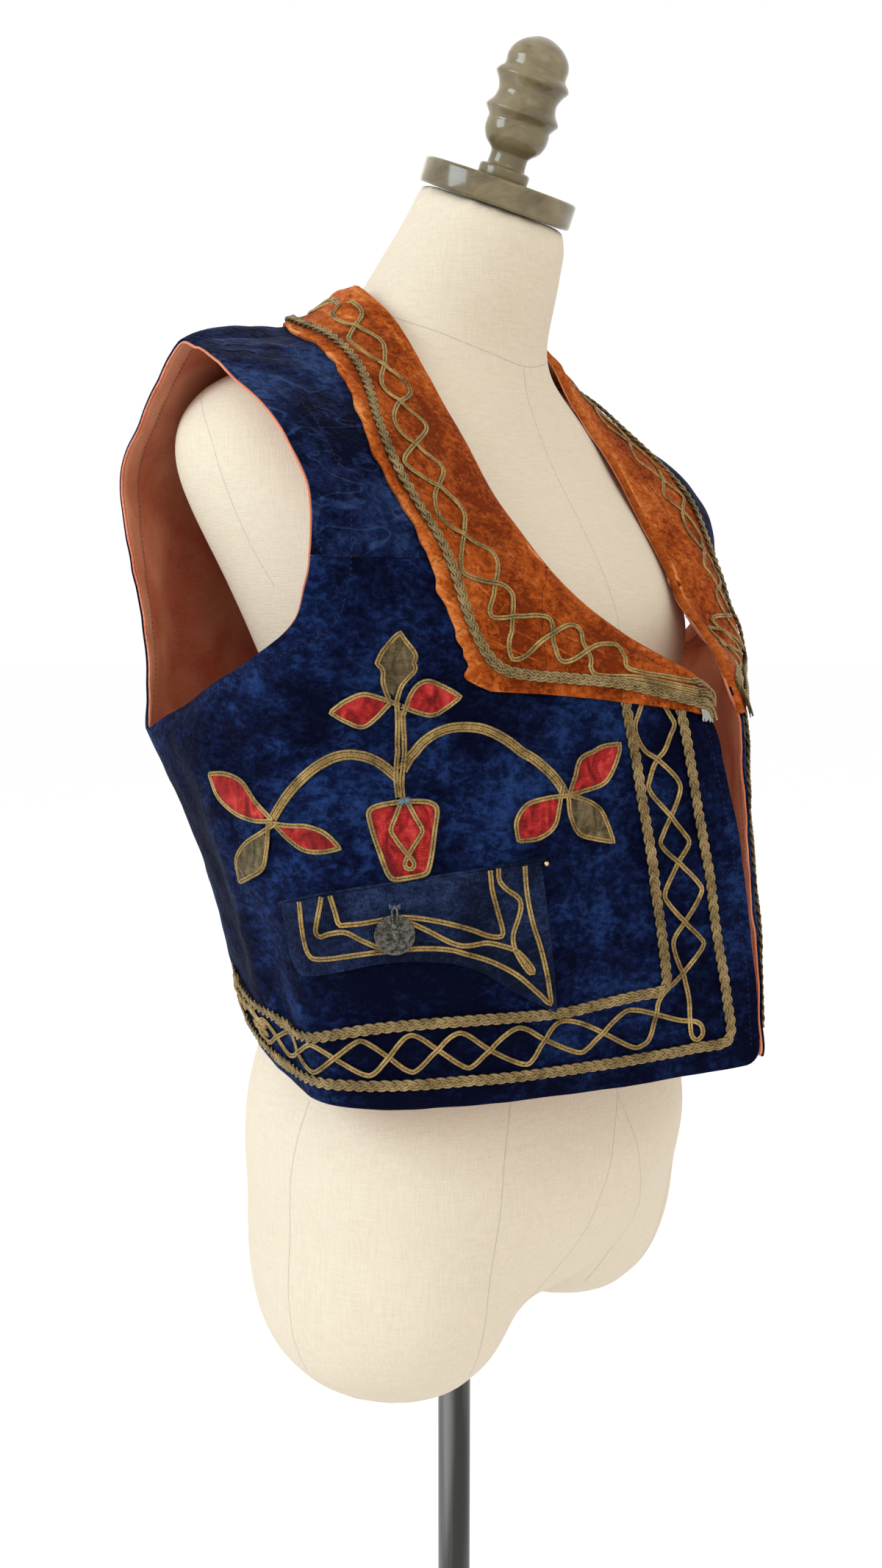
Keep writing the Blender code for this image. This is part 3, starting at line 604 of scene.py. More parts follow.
LINEN = Linen("form_linen", "linen", (0.71, 0.615, 0.48), (0.61, 0.51, 0.38))
WOOD = LacqueredWood("cap_wood", "wood", (0.055, 0.038, 0.017), (0.165, 0.125, 0.062),
                     (0.27, 0.215, 0.12), (0.62, 0.58, 0.47))
KNOB_WOOD = LacqueredWood("knob_wood", "wood", (0.06, 0.042, 0.019), (0.165, 0.125, 0.062),
                          (0.26, 0.205, 0.115), (0.7, 0.66, 0.55), worn_from=1.595)
STEEL = Metal("gunmetal", "steel", (0.2, 0.195, 0.185), (0.045, 0.043, 0.04), 0.3, marks=110.0)
SILVER = Metal("old_silver", "silver", (0.165, 0.153, 0.132), (0.045, 0.04, 0.033), 0.4,
               marks=900.0, stretch=(1.0, 1.0, 1.0))
GOLD_BEAD = Metal("gold_bead", "silver", (0.75, 0.56, 0.28), (0.5, 0.35, 0.14), 0.3)
DARK_THREAD = Plain("dark_thread", "velvet", (0.018, 0.016, 0.03))
RUST_THREAD = Plain("rust_thread", "collar_velvet", (0.17, 0.032, 0.008))
BROWN_THREAD = Plain("brown_thread", "lining", (0.1, 0.03, 0.022))
PALE_THREAD = Plain("pale_thread", "linen", (0.62, 0.53, 0.41))
FRAYED_THREAD = Plain("frayed_thread", "braid", (0.42, 0.42, 0.38))
SHANK_THREAD = Plain("shank_thread", "velvet", (0.06, 0.09, 0.15))
BLUE_THREAD = Plain("blue_thread", "velvet", (0.17, 0.22, 0.27))
FLOOR = Plain("pale_floor", "linen", (1.0, 1.0, 1.0), shade=0.99, grain=3.0, detail=3.0,
              roughness=0.9, gloss=0.1, depth=0.0)


# ---------------------------------------------------------------- tables


class Section(NamedTuple):
    """A section of a cut piece: a conic from its inner edge by a turn to its outer
    edge. level is the height on the cut, dip and neck_dip how far it hangs; on a
    front, inset is how far the inner edge is from the front edge, band how wide the
    collar is and seam how far its piecing seam is from the inner edge."""

    level: float
    in_lat: float
    in_fwd: float
    in_z: float
    turn_lat: float
    turn_fwd: float
    out_lat: float
    out_fwd: float
    out_z: float
    weight: float
    dip: float
    neck_dip: float
    inset: float = 0
    band: float = 0
    seam: float = 0


FRONT_ROWS = tuple(Section(*row) for row in (
    (0, 0.3, 24.3, 23.8, 23.3, 8.8, 16, -4, 23.8, 4, 0.9, 0),
    (7, 0.4, 23.6, 30.5, 24.8, 9.2, 17.3, -4.8, 30.5, 2.6, 0.4, 0),
    (14, 0.7, 22.7, 37.2, 27, 8.5, 18.8, -6.2, 37.3, 1.8, 0.2, 0),
    (20.6, 1.5, 21.7, 43, 28, 7.6, 20.4, -8.7, 43.9, 1.3, 0, 0),
    (22.8, 1.9, 21.2, 45, 25.5, 8.8, 22, -2.3, 46.2, 2, -1.4, 0, 0, 14.6, 10.8),
    (24.8, 1.8, 20.4, 46.9, 24.5, 10.1, 22.9, 2.8, 48.3, 1.9, -0.8, 0, 0, 15.7, 10.9),
    (28, 5.2, 17.2, 49.6, 21.5, 11.6, 23, 6.8, 50.5, 1.4, 0, 0, 3.5, 11.9, 6.3),
    (30.5, 7.6, 15.1, 52, 19.5, 11.3, 23, 7.9, 52.4, 1.3, 0, 0, 6, 9.5, 2.7),
    (33, 8.8, 13.3, 54.2, 19.3, 10.9, 22.9, 8.3, 54.3, 1.2, 0, 0, 7.3, 8.1, 0.4),
    (37, 9.3, 10.2, 58, 19.6, 9.2, 22.5, 7.9, 58, 1.2, 0, 0, 7.8, 7.8),
    (41.3, 8.8, 7.1, 62, 18.7, 6.5, 22, 5, 61.8, 1.2, 0, 0, 7.4, 7.6),
    (46, 8.3, 4.1, 66, 17, 2.4, 21.4, 0.8, 64.8, 1.1, 0, 0, 7, 6.5),
    (49.5, 8.5, 1.8, 69.4, 16.5, -0.4, 20.9, -1.2, 66, 1, 0, 0.8, 7, 5.6),
    (53, 7.9, -1.6, 72, 13.5, -3.8, 20.3, -3.2, 66.9, 1, 0, 1.5, 6.8, 5.2),
))
BACK_ROWS = tuple(Section(*row) for row in (
    (0, 0, -12, 24.2, 11.5, -12.3, 16, -4, 23.8, 1.2, 0, 0),
    (7, 0, -12.3, 30.6, 12.5, -12.8, 17.3, -4.8, 30.5, 1.2, 0, 0),
    (14, 0, -12.9, 37.2, 14, -13.8, 18.8, -6.2, 37.3, 1.2, 0, 0),
    (20.6, 0, -13.6, 43.6, 15.5, -14.8, 20.4, -8.7, 43.9, 1.2, 0, 0),
    (25, 0, -14.1, 48.3, 14.5, -15.2, 20, -9, 48.4, 1.2, 0, 0),
    (31, 0, -14.4, 54.2, 13.5, -15.4, 19.6, -10.8, 54.3, 1.2, 0, 0),
    (37, 0, -14.3, 60.2, 12.5, -15.2, 19.1, -12.3, 60, 1.2, 0, 0),
    (41, 0, -13.5, 64.8, 12, -13.6, 19.5, -9.7, 63.3, 1.1, 0, 0),
    (45, 0, -11.6, 68.8, 11, -11.4, 20, -7.4, 65.2, 1, 0, 0.3),
    (49, 0, -8.4, 72.4, 10, -8.6, 20.2, -5.8, 66.6, 1, -0.5, 1.3),
    (51, 5, -6.2, 72.4, 12, -5.4, 20.3, -4.6, 67.3, 1, -1, 1.9),
    (53, 7.9, -1.6, 72, 13.5, -3.8, 20.3, -3.2, 66.9, 1, 0, 1.5),
))
ARMPIT_ROW = 3
NECK_ROW = 9
ARMPIT_LEVEL = 20.6
YOKE_LEVEL = 33.0
COLLAR_FOOT = 22.8
SHOULDER_LEVEL = 53.0
NECK_LEVEL = 49.0
SEWN_GAP = 0.012


class Crease(NamedTuple):
    """A soft fold pressed in the cloth: where its middle is (distance from the
    front edge or the centre back, level), its slant, length, width and height
    in centimetres; a trough has a height below 0."""

    from_edge: float
    level: float
    slant: float
    length: float
    width: float
    height: float


FRONT_CREASES = tuple(Crease(*fold) for fold in (
    (31.5, 5, 82, 13, 1.5, -0.42), (34.6, 6.5, 96, 15, 1.7, 0.3), (27.5, 3, 70, 7, 1.2, 0.14),
    (24, 19.5, 25, 9, 0.9, -0.1), (15.5, 25.5, 62, 6, 0.7, -0.09), (17.5, 27, 75, 8, 0.8, 0.08),
    (22, 27.5, 28, 7, 0.8, -0.11), (10.5, 15, 8, 7, 0.8, -0.07), (3.9, 12, 92, 19, 0.5, 0.06),
    (14.5, 10.5, 78, 6, 0.9, 0.07), (30, 22.5, 118, 9, 1, -0.14), (33.5, 17, 100, 10, 1.3, 0.13),
    (17, 37, 70, 6, 0.6, -0.1), (18.2, 41, 62, 7, 0.55, 0.09), (15.5, 44, 40, 5, 0.5, -0.09),
    (17.5, 47, 33, 6, 0.5, 0.1), (14.8, 49.2, 28, 6, 0.5, -0.09), (16.5, 50.8, 20, 6, 0.5, 0.09),
    (13.6, 35.8, 10, 4, 0.5, -0.07), (37, 12, 90, 14, 1.4, -0.12),
))
LEFT_CREASES = tuple(Crease(*fold) for fold in (
    (6.8, 31.3, 90, 9, 2.6, -1.3), (7.6, 37.3, 90, 8, 2.4, -0.6), (23, 31, 90, 11, 4, -1.1),
))
BACK_CREASES = tuple(Crease(*fold) for fold in (
    (14, 7, 97, 15, 1.5, -0.22), (8.5, 5, 84, 12, 1.6, 0.16), (3.5, 9, 92, 17, 1.7, -0.12),
    (17, 19.5, 58, 9, 1, -0.14), (12, 24, 70, 12, 1.4, 0.1), (16.5, 31, 80, 11, 0.9, -0.1),
    (6.5, 33, 20, 9, 1.2, -0.09), (9, 39.5, 8, 10, 0.9, 0.1), (14, 43, 155, 8, 0.7, -0.11),
    (4.5, 27, 12, 8, 1.3, 0.07), (11.5, 15, 60, 9, 1.1, 0.09), (12.5, 48.3, 165, 7, 0.6, 0.08),
))

COLLAR_BACK = ((7.9, 0.6), (8.0, 2.2), (8.2, 4.2), (8.5, 6.2), (9.0, 8.4), (9.5, 6.9),
               (10, 5.9), (10.5, 5.5), (11, 5.2))


def spline(rows: Sequence[Sequence[float]], at: np.ndarray) -> np.ndarray:
    """Catmull-Rom through the rows, read at places counted in rows.

    Args:
        rows: The table.
        at: Where to read it.

    Returns:
        The rows there.
    """
    table = np.asarray(rows, float)
    padded = np.vstack([2 * table[0] - table[1], table, 2 * table[-1] - table[-2]])
    at = np.clip(np.asarray(at, float), 0, len(table) - 1)
    k = np.minimum(at.astype(int), len(table) - 2)
    t = (at - k)[..., None]
    a, b, c, d = (padded[k + i] for i in range(4))
    return b + 0.5 * t * (c - a + t * (2 * a - 5 * b + 4 * c - d + t * (3 * (b - c) + d - a)))


def curve(path: Sequence[Place], steps: int = 8) -> np.ndarray:
    """The path as a smooth curve, with each stretch split this many times."""
    return spline(path, np.linspace(0, len(path) - 1, steps * (len(path) - 1) + 1))


def resample(values: np.ndarray, known: np.ndarray, at: np.ndarray) -> np.ndarray:
    """Rows of values that are known at some places, read at others."""
    return np.stack([np.interp(at, known, column) for column in values.T], 1)


def run_along(points: np.ndarray) -> np.ndarray:
    """How far along its line each point is."""
    return np.append(0, np.cumsum(np.linalg.norm(np.diff(points, axis=0), axis=1)))


def eased(path: Sequence[Place], kept: int = 5) -> np.ndarray:
    """A smoother curve, through a few even points of a path of places.

    Args:
        path: The places.
        kept: How many points are kept.

    Returns:
        The curve.
    """
    fine = curve(path)
    run = run_along(fine)
    return curve(resample(fine, run, np.linspace(0, run[-1], kept)), 10)


def unit(vectors: np.ndarray) -> np.ndarray:
    """The vectors at length 1."""
    return vectors / np.maximum(np.linalg.norm(vectors, axis=-1, keepdims=True), 1e-12)


def bell(value: np.ndarray, width: float) -> np.ndarray:
    """1 in the middle, dying away over this width."""
    return np.exp(-((value / width) ** 2))


# ---------------------------------------------------------------- surfaces


class Cut:
    """A cut piece of the vest as a fine table of points over level and part of
    the way from its inner to its outer edge, creases and all."""

    STEP = 0.36
    SEAM_STEP = 0.1
    SAMPLES = 161
    CORNER = 1.1
    JOINED = 8
    WAVES = ((11.0, 0.05), (7.0, 0.045), (4.6, 0.03), (3.1, 0.022), (2.2, 0.014), (1.7, 0.01))
    WAVES_EACH = 3
    BLADES_LEVEL = 38

    def __init__(self, rows: Sequence[Section], hand: Hand, turning: int, inner_corner: int,
                 columns: int, creases: Sequence[Crease], seed: int) -> None:
        """Works the table out.

        Args:
            rows: The piece's sections.
            hand: The side of the body.
            turning: 1 or -1, which way round its outside faces.
            inner_corner: The section where its inner edge turns a corner.
            columns: How many points across the table has.
            creases: The folds pressed in it.
            seed: Sets its small unevenness.
        """
        self.rows = rows
        self.hand = hand
        self.inner_corner = inner_corner
        self.section_levels = self.column("level")[:, 0]
        top = self.section_levels[-1]
        near_seam = YOKE_LEVEL + np.arange(-8, 9) * self.SEAM_STEP
        self.levels = np.unique(np.round(np.concatenate(
            [np.arange(0, top, self.STEP), near_seam, self.section_levels]), 3))
        self.at_rows = self.row_at(self.levels)
        self.part = np.linspace(0, 1, columns)
        self.points, self.widths = self._spread()
        self.outwards = hand.value * turning
        self.normals = self._normals()
        lift = self._relief(creases, seed)
        self.points = self.points + self.normals * (lift * CM)[..., None]
        self.normals = self._normals()

    def column(self, *names: str) -> np.ndarray:
        """The named values of every section."""
        return np.array([[getattr(row, name) for name in names] for row in self.rows], float)

    def row_at(self, level: np.ndarray) -> np.ndarray:
        """Levels counted in sections."""
        return np.interp(level, self.section_levels, np.arange(len(self.rows)))

    def level_at(self, row: np.ndarray) -> np.ndarray:
        """Sections turned to levels."""
        return np.interp(row, np.arange(len(self.rows)), self.section_levels)

    def width_at(self, level: np.ndarray) -> np.ndarray:
        """Centimetres from the inner to the outer edge, along the cloth."""
        return np.interp(level, self.levels, self.widths)

    def _edge(self, corner: int, *names: str) -> np.ndarray:
        """An edge that turns a corner at one of the sections, or at none if 0.

        Args:
            corner: The section's number.
            names: The edge's columns.

        Returns:
            The edge at each level.
        """
        table = self.column(*names)
        if corner == 0:
            return spline(table, self.at_rows)
        low = spline(table[: corner + 1], self.at_rows)
        high = spline(table[corner:], self.at_rows - corner)
        return np.where((self.at_rows < corner)[:, None], low, high)

    def _spread(self) -> tuple[np.ndarray, np.ndarray]:
        """Spreads the cloth between its edges.

        Returns:
            The points, in metres, and each row's width in centimetres.
        """
        inner = self._edge(self.inner_corner, "in_lat", "in_fwd", "in_z")[:, None]
        self.inner_lateral = inner[:, 0, 0]
        outer = self._edge(ARMPIT_ROW, "out_lat", "out_fwd", "out_z")[:, None]
        turn = spline(self.column("turn_lat", "turn_fwd"), self.at_rows)[:, None]
        sag = spline(self.column("weight", "dip", "neck_dip"), self.at_rows)
        weight, dip, neck_dip = (sag[:, i, None] for i in range(3))
        t = np.linspace(0, 1, self.SAMPLES)[None, :, None]
        a, b, c = (1 - t) ** 2, 2 * weight[..., None] * t * (1 - t), t ** 2
        plan = (a * inner[..., :2] + b * turn + c * outer[..., :2]) / (a + b + c)
        steps = np.linalg.norm(np.diff(plan, axis=1), axis=2)
        length = np.concatenate([np.zeros((len(steps), 1)), np.cumsum(steps, axis=1)], axis=1)
        widths = length[:, -1]
        part = length / widths[:, None]
        hang = (4 * dip + 6.75 * neck_dip * (1 - part)) * part * (1 - part)
        height = inner[..., 2] + (outer[..., 2] - inner[..., 2]) * part - hang
        fine = np.stack([self.hand.value * plan[..., 0], -plan[..., 1], height], 2)
        points = CM * np.array([resample(row, p, self.part) for p, row in zip(part, fine)])
        points[..., 2] += FORM_BOTTOM
        return points, widths

    def _normals(self) -> np.ndarray:
        """Finds which way the cloth faces.

        Returns:
            Directions out of the cloth, smoothed a little.
        """
        up = np.gradient(self.points, axis=0)
        along = np.gradient(self.points, axis=1)
        normals = unit(self.outwards * np.cross(up, along))
        for _ in range(2):
            padded = np.pad(normals, ((1, 1), (1, 1), (0, 0)), mode="edge")
            normals = unit(padded[:-2, 1:-1] + padded[2:, 1:-1] + padded[1:-1, :-2]
                           + padded[1:-1, 2:] + 2 * normals)
        if self.inner_corner:
            normals[self.levels <= NECK_LEVEL, 0, 0] = 0
        return unit(normals)

    def _relief(self, creases: Sequence[Crease], seed: int) -> np.ndarray:
        """Heights of the folds and of the cloth's own unevenness, in centimetres.

        Args:
            creases: The folds.
            seed: Sets the unevenness.

        Returns:
            A height for each point.
        """
        across = self.part[None] * self.widths[:, None]
        if self.inner_corner:
            across = across * self.hand.value
        else:
            across = across + np.interp(self.levels, self.section_levels,
                                        self.column("inset")[:, 0])[:, None]
        level = np.broadcast_to(self.levels[:, None], across.shape)
        relief = np.zeros(across.shape)
        for crease in creases:
            slant = math.radians(crease.slant)
            u, v = across - crease.from_edge, level - crease.level
            ahead = u * math.cos(slant) + v * math.sin(slant)
            aside = v * math.cos(slant) - u * math.sin(slant)
            aside = aside + 0.05 * ahead ** 2 / crease.length
            relief += crease.height * bell(aside, crease.width) * bell(ahead, crease.length / 2)
        draws = np.random.default_rng(seed)
        for wavelength, height in self.WAVES:
            for _ in range(self.WAVES_EACH):
                angle, phase = draws.uniform(0, math.pi), draws.uniform(0, 2 * math.pi)
                swing = (across * math.cos(angle) + level * math.sin(angle)) / wavelength
                relief += height * np.sin(2 * math.pi * swing + phase) / 1.7
        rests = 1 / (1 + np.exp(-(level - self.BLADES_LEVEL) / 1.5))
        relief = np.where(relief > 0, relief * (1 - 0.5 * rests), relief) + 0.06 * rests
        return relief - 0.07 * bell(level - YOKE_LEVEL, 0.22) * (self.inner_corner == 0)

    def share_seam(self, other: Cut) -> None:
        """Gives this piece and the other the same lines and directions at their seams.

        Args:
            other: The piece sewn to this one.
        """
        for mine, yours in ((self, other), (other, self)):
            sewn = mine.levels[mine.levels <= ARMPIT_LEVEL]
            pairs = (mine.points, yours.points), (mine.normals, yours.normals)
            mine.shoulder_line, mine.shoulder = (
                here[-1] + resample(there[-1], yours.part, mine.part) for here, there in pairs)
            mine.side_line, mine.side_seam = (
                here[:len(sewn), -1] + resample(there[:, -1], yours.levels, sewn)
                for here, there in pairs)
        for piece in (self, other):
            piece._join()

    def _join(self) -> None:
        """Eases the points and directions near the seams to the shared ones."""
        sewn = len(self.side_line)
        for points, normals, line, directions in (
                (self.points, self.normals, self.shoulder_line, self.shoulder),
                (self.points[:sewn].swapaxes(0, 1), self.normals[:sewn].swapaxes(0, 1),
                 self.side_line, self.side_seam)):
            shift, directions = line / 2 - points[-1], unit(directions)
            for k in range(self.JOINED):
                ease = (1 - k / self.JOINED) ** 2
                points[-1 - k] += shift * ease
                normals[-1 - k] = unit(normals[-1 - k] * (1 - ease) + directions * ease)

    def read(self, distance: np.ndarray, level: np.ndarray,
             lift: np.ndarray | float) -> tuple[np.ndarray, np.ndarray]:
        """Points over the cloth.

        Args:
            distance: Centimetres from the inner edge, along the cloth.
            level: Levels over the hem.
            lift: Metres over the cloth.

        Returns:
            The points and the directions out of the cloth there.
        """
        across = np.clip(distance / self.width_at(level), 0, 1) * (len(self.part) - 1)
        down = np.interp(level, self.levels, np.arange(len(self.levels)))
        i = np.minimum(down.astype(int), len(self.levels) - 2)
        j = np.minimum(across.astype(int), len(self.part) - 2)
        s, t = (down - i)[..., None], (across - j)[..., None]

        def mixed(table: np.ndarray) -> np.ndarray:
            """The table between its four nearest points."""
            return ((1 - s) * ((1 - t) * table[i, j] + t * table[i, j + 1])
                    + s * ((1 - t) * table[i + 1, j] + t * table[i + 1, j + 1]))

        normals = unit(mixed(self.normals))
        return mixed(self.points) + normals * np.asarray(lift)[..., None], normals

    def spread(self, low: float, high: float, lift: float,
               skip: int) -> tuple[np.ndarray, np.ndarray, np.ndarray]:
        """The cloth between two levels.

        Args:
            low: The lowest level.
            high: The highest level.
            lift: Metres over the cloth.
            skip: Takes one column in this many.

        Returns:
            The points, the directions out of the cloth and the UV places.
        """
        inside = self.levels[(self.levels > low + 0.02) & (self.levels < high - 0.02)]
        levels = np.concatenate([[low], inside, [high]])
        rows, part = np.meshgrid(levels, self.part[::skip], indexing="ij")
        distance = part * self.width_at(rows)
        if not self.inner_corner:
            in_x, in_y = (np.clip(1 - side / self.CORNER, 0, 1) for side in (distance, rows))
            both = (in_x > 0) & (in_y > 0)
            ease = np.where(both, np.maximum(in_x, in_y)
                            / np.maximum(np.hypot(in_x, in_y), 1e-9), 1)
            distance = np.where(both, self.CORNER * (1 - in_x * ease), distance)
            rows = np.where(both, self.CORNER * (1 - in_y * ease), rows)
        points, normals = self.read(distance, rows, lift)
        return points, normals, np.stack([distance, rows], 2) * CM

    def flat_size(self, low: float, high: float) -> tuple[tuple[float, float], float]:
        """The cut's width, length and area between two levels, in metres.

        Args:
            low: The lowest level.
            high: The highest level.

        Returns:
            The width and length, and the area.
        """
        inside = (self.levels >= low - 1e-6) & (self.levels <= high + 1e-6)
        widths, levels = self.widths[inside] * CM, self.levels[inside] * CM
        area = float(np.sum((widths[1:] + widths[:-1]) / 2 * np.diff(levels)))
        return (float(widths.max()), float(levels[-1] - levels[0])), area


class VestSide:
    """The front and half the back of one side of the vest."""

    FRONT_COLUMNS = 121
    BACK_COLUMNS = 61
    FRONT_SEEDS = {Hand.RIGHT: 11, Hand.LEFT: 23}
    BACK_SEED = 37

    def __init__(self, hand: Hand) -> None:
        """Works both pieces out and joins them at their seams.

        Args:
            hand: The side of the body.
        """
        self.hand = hand
        front = FRONT_CREASES
        if hand is Hand.LEFT:
            front = [*self.other_way(FRONT_CREASES), *LEFT_CREASES]
        back = [*BACK_CREASES, *(crease._replace(from_edge=-crease.from_edge,
                                                 slant=180 - crease.slant)
                                 for crease in self.other_way(BACK_CREASES))]
        self.front = Cut(FRONT_ROWS, hand, -1, 0, self.FRONT_COLUMNS, front,
                         self.FRONT_SEEDS[hand])
        self.back = Cut(BACK_ROWS, hand, 1, NECK_ROW, self.BACK_COLUMNS, back, self.BACK_SEED)
        self.front.share_seam(self.back)
        self.insets = self.front.column("inset")[:, 0]

    @staticmethod
    def other_way(creases: Sequence[Crease]) -> list[Crease]:
        """The creases moved about and changed in size, for the other side.

        Args:
            creases: The folds of one side.

        Returns:
            As many folds again.
        """
        return [crease._replace(level=crease.level * 0.93 + 1.5,
                                from_edge=crease.from_edge * 0.96 + 0.8,
                                slant=crease.slant + (9 if i % 2 else -7),
                                height=crease.height * (1.25, 0.8, 0.95)[i % 3])
                for i, crease in enumerate(creases)]

    def inset(self, level: np.ndarray) -> np.ndarray:
        """How far the neckline is from the line of the front edge."""
        return np.interp(level, self.front.section_levels, self.insets)

    def on_front(self, places: np.ndarray, lift: np.ndarray | float = 0.0) -> Trail:
        """Places on the front as a trail in space."""
        places = np.asarray(places, float)
        distance = places[..., 0] - self.inset(places[..., 1])
        return Trail(*self.front.read(distance, places[..., 1], lift))

    def on_back(self, places: np.ndarray, lift: np.ndarray | float = 0.0) -> Trail:
        """Places on the back, as distance from its middle and level."""
        places = np.asarray(places, float)
        neckline = np.interp(places[..., 1], self.back.levels, self.back.inner_lateral)
        return Trail(*self.back.read(places[..., 0] - neckline, places[..., 1], lift))


@dataclass
class Trail:
    """A line over the cloth, with the direction out of the cloth at each point."""

    points: np.ndarray
    normals: np.ndarray

    def __add__(self, other: Trail) -> Trail:
        """This trail and then the other."""
        return Trail(np.vstack([self.points, other.points]),
                     np.vstack([self.normals, other.normals]))

    def backwards(self) -> Trail:
        """The trail from its end to its start."""
        return Trail(self.points[::-1], self.normals[::-1])

    def rounded(self, steps: int) -> Trail:
        """A smooth curve through the points, each stretch split this many times."""
        at = np.linspace(0, len(self.points) - 1, steps * (len(self.points) - 1) + 1)
        return Trail(spline(self.points, at), unit(spline(self.normals, at)))

    def lengths(self) -> np.ndarray:
        """How far along each point is, in metres."""
        return run_along(self.points)

    def even(self, step: float) -> Trail:
        """The trail with its points this far apart.

        Args:
            step: The distance, in metres.

        Returns:
            The new trail.
        """
        length = self.lengths()
        keep = np.concatenate([[True], np.diff(length) > 1e-7])
        length, points, normals = length[keep], self.points[keep], self.normals[keep]
        at = np.linspace(0, length[-1], max(3, round(length[-1] / step) + 1))
        return Trail(resample(points, length, at), unit(resample(normals, length, at)))

    def eased(self, times: int) -> Trail:
        """The trail with its corners rounded, its ends kept.

        Args:
            times: How often it is smoothed.

        Returns:
            The new trail.
        """
        points = self.points.copy()
        for _ in range(times):
            points[1:-1] = (points[:-2] + 2 * points[1:-1] + points[2:]) / 4
        return Trail(points, self.normals)

    def frame(self) -> tuple[np.ndarray, np.ndarray]:
        """The directions to the side of the trail and up from it."""
        ahead = unit(np.gradient(self.points, axis=0))
        aside = unit(np.cross(ahead, self.normals))
        return aside, unit(np.cross(aside, ahead))

    def moved(self, aside: np.ndarray | float, up: np.ndarray | float) -> Trail:
        """The trail moved to its side and up, in metres."""
        sides, ups = self.frame()
        shift = sides * np.asarray(aside)[..., None] + ups * np.asarray(up)[..., None]
        return Trail(self.points + shift, ups)


# ---------------------------------------------------------------- meshes


def grid_mesh(points: np.ndarray, uv: np.ndarray, normals: np.ndarray | None = None,
              rim: np.ndarray | None = None) -> bpy.types.Mesh:
    """A grid of faces over rows and columns of points.

    Args:
        points: Rows of columns of points.
        uv: The same rows and columns of UV places.
        normals: The directions that its points have to face, if given.
        rim: How near its edge each point is, from 0 to 1, for a second UV map.

    Returns:
        The mesh, with a UV map named cut.
    """
    rows, columns = points.shape[:2]
    bm = bmesh.new()
    bmesh.ops.create_grid(bm, x_segments=columns - 1, y_segments=rows - 1, size=0.5)
    mesh = bpy.data.meshes.new("grid")
    bm.to_mesh(mesh)
    bm.free()
    flat = np.empty(len(mesh.vertices) * 3)
    mesh.vertices.foreach_get("co", flat)
    row = np.rint((flat[1::3] + 0.5) * (rows - 1)).astype(int)
    column = np.rint((flat[0::3] + 0.5) * (columns - 1)).astype(int)
    mesh.vertices.foreach_set("co", points[row, column].ravel())
    corners = np.empty(len(mesh.loops), int)
    mesh.loops.foreach_get("vertex_index", corners)
    layer = mesh.uv_layers.new(name="cut")
    layer.data.foreach_set("uv", uv[row[corners], column[corners]].ravel())
    if rim is not None:
        near = rim[row[corners], column[corners]]
        layer = mesh.uv_layers.new(name="rim")
        layer.data.foreach_set("uv", np.stack([near, near], 1).ravel())
    mesh.update()
    if normals is not None:
        outwards = Vector(normals[rows // 2, columns // 2])
        if mesh.polygons[len(mesh.polygons) // 2].normal.dot(outwards) < 0:
            mesh.flip_normals()
    return mesh


class Stock:
    """Meshes gathered into one piece."""

    def __init__(self, *meshes: bpy.types.Mesh) -> None:
        """Starts with these meshes."""
        self.bm = bmesh.new()
        for mesh in meshes:
            self.add(mesh)

    def add(self, mesh: bpy.types.Mesh) -> None:
        """Takes a mesh in."""
        self.bm.from_mesh(mesh)
        bpy.data.meshes.remove(mesh)

    def tube(self, trail: Trail, profile: np.ndarray, scale: np.ndarray | None = None) -> None:
        """Sweeps a closed profile along a trail.

        Args:
            trail: The line to follow.
            profile: Points to the side and up, in metres, the last as the first.
            scale: How big the profile is at each point, if it varies.
        """
        sides, ups = trail.frame()
        size = np.ones(len(trail.points)) if scale is None else scale
        shape = profile[None] * size[:, None, None]
        points = (trail.points[:, None] + sides[:, None] * shape[..., :1]
                  + ups[:, None] * shape[..., 1:])
        around = np.linspace(0, 1, len(profile))
        uv = np.stack(np.broadcast_arrays(trail.lengths()[:, None], around[None]), 2)
        mesh = grid_mesh(points, uv)
        bm = bmesh.new()
        bm.from_mesh(mesh)
        bpy.data.meshes.remove(mesh)
        bmesh.ops.remove_doubles(bm, verts=bm.verts[:], dist=1e-6)
        rims = [edge for edge in bm.edges if edge.is_boundary]
        bmesh.ops.holes_fill(bm, edges=rims)
        bmesh.ops.recalc_face_normals(bm, faces=bm.faces[:])
        made = bpy.data.meshes.new("tube")
        bm.to_mesh(made)
        bm.free()
        self.add(made)

    def piece(self, name: str, finish: Finish, replaced: Sequence[str] = (),
              smooth_angle: float = 50.0) -> bpy.types.Object:
        """Makes the piece from what was gathered.

        Args:
            name: The piece's name.
            finish: Its finish.
            replaced: The frame's nodes that it stands for.
            smooth_angle: Edges sharper than this, in degrees, stay sharp.

        Returns:
            The object.
        """
        mesh = bpy.data.meshes.new(name)
        self.bm.to_mesh(mesh)
        self.bm.free()
        return dressed(mesh, name, finish, replaced, smooth_angle)


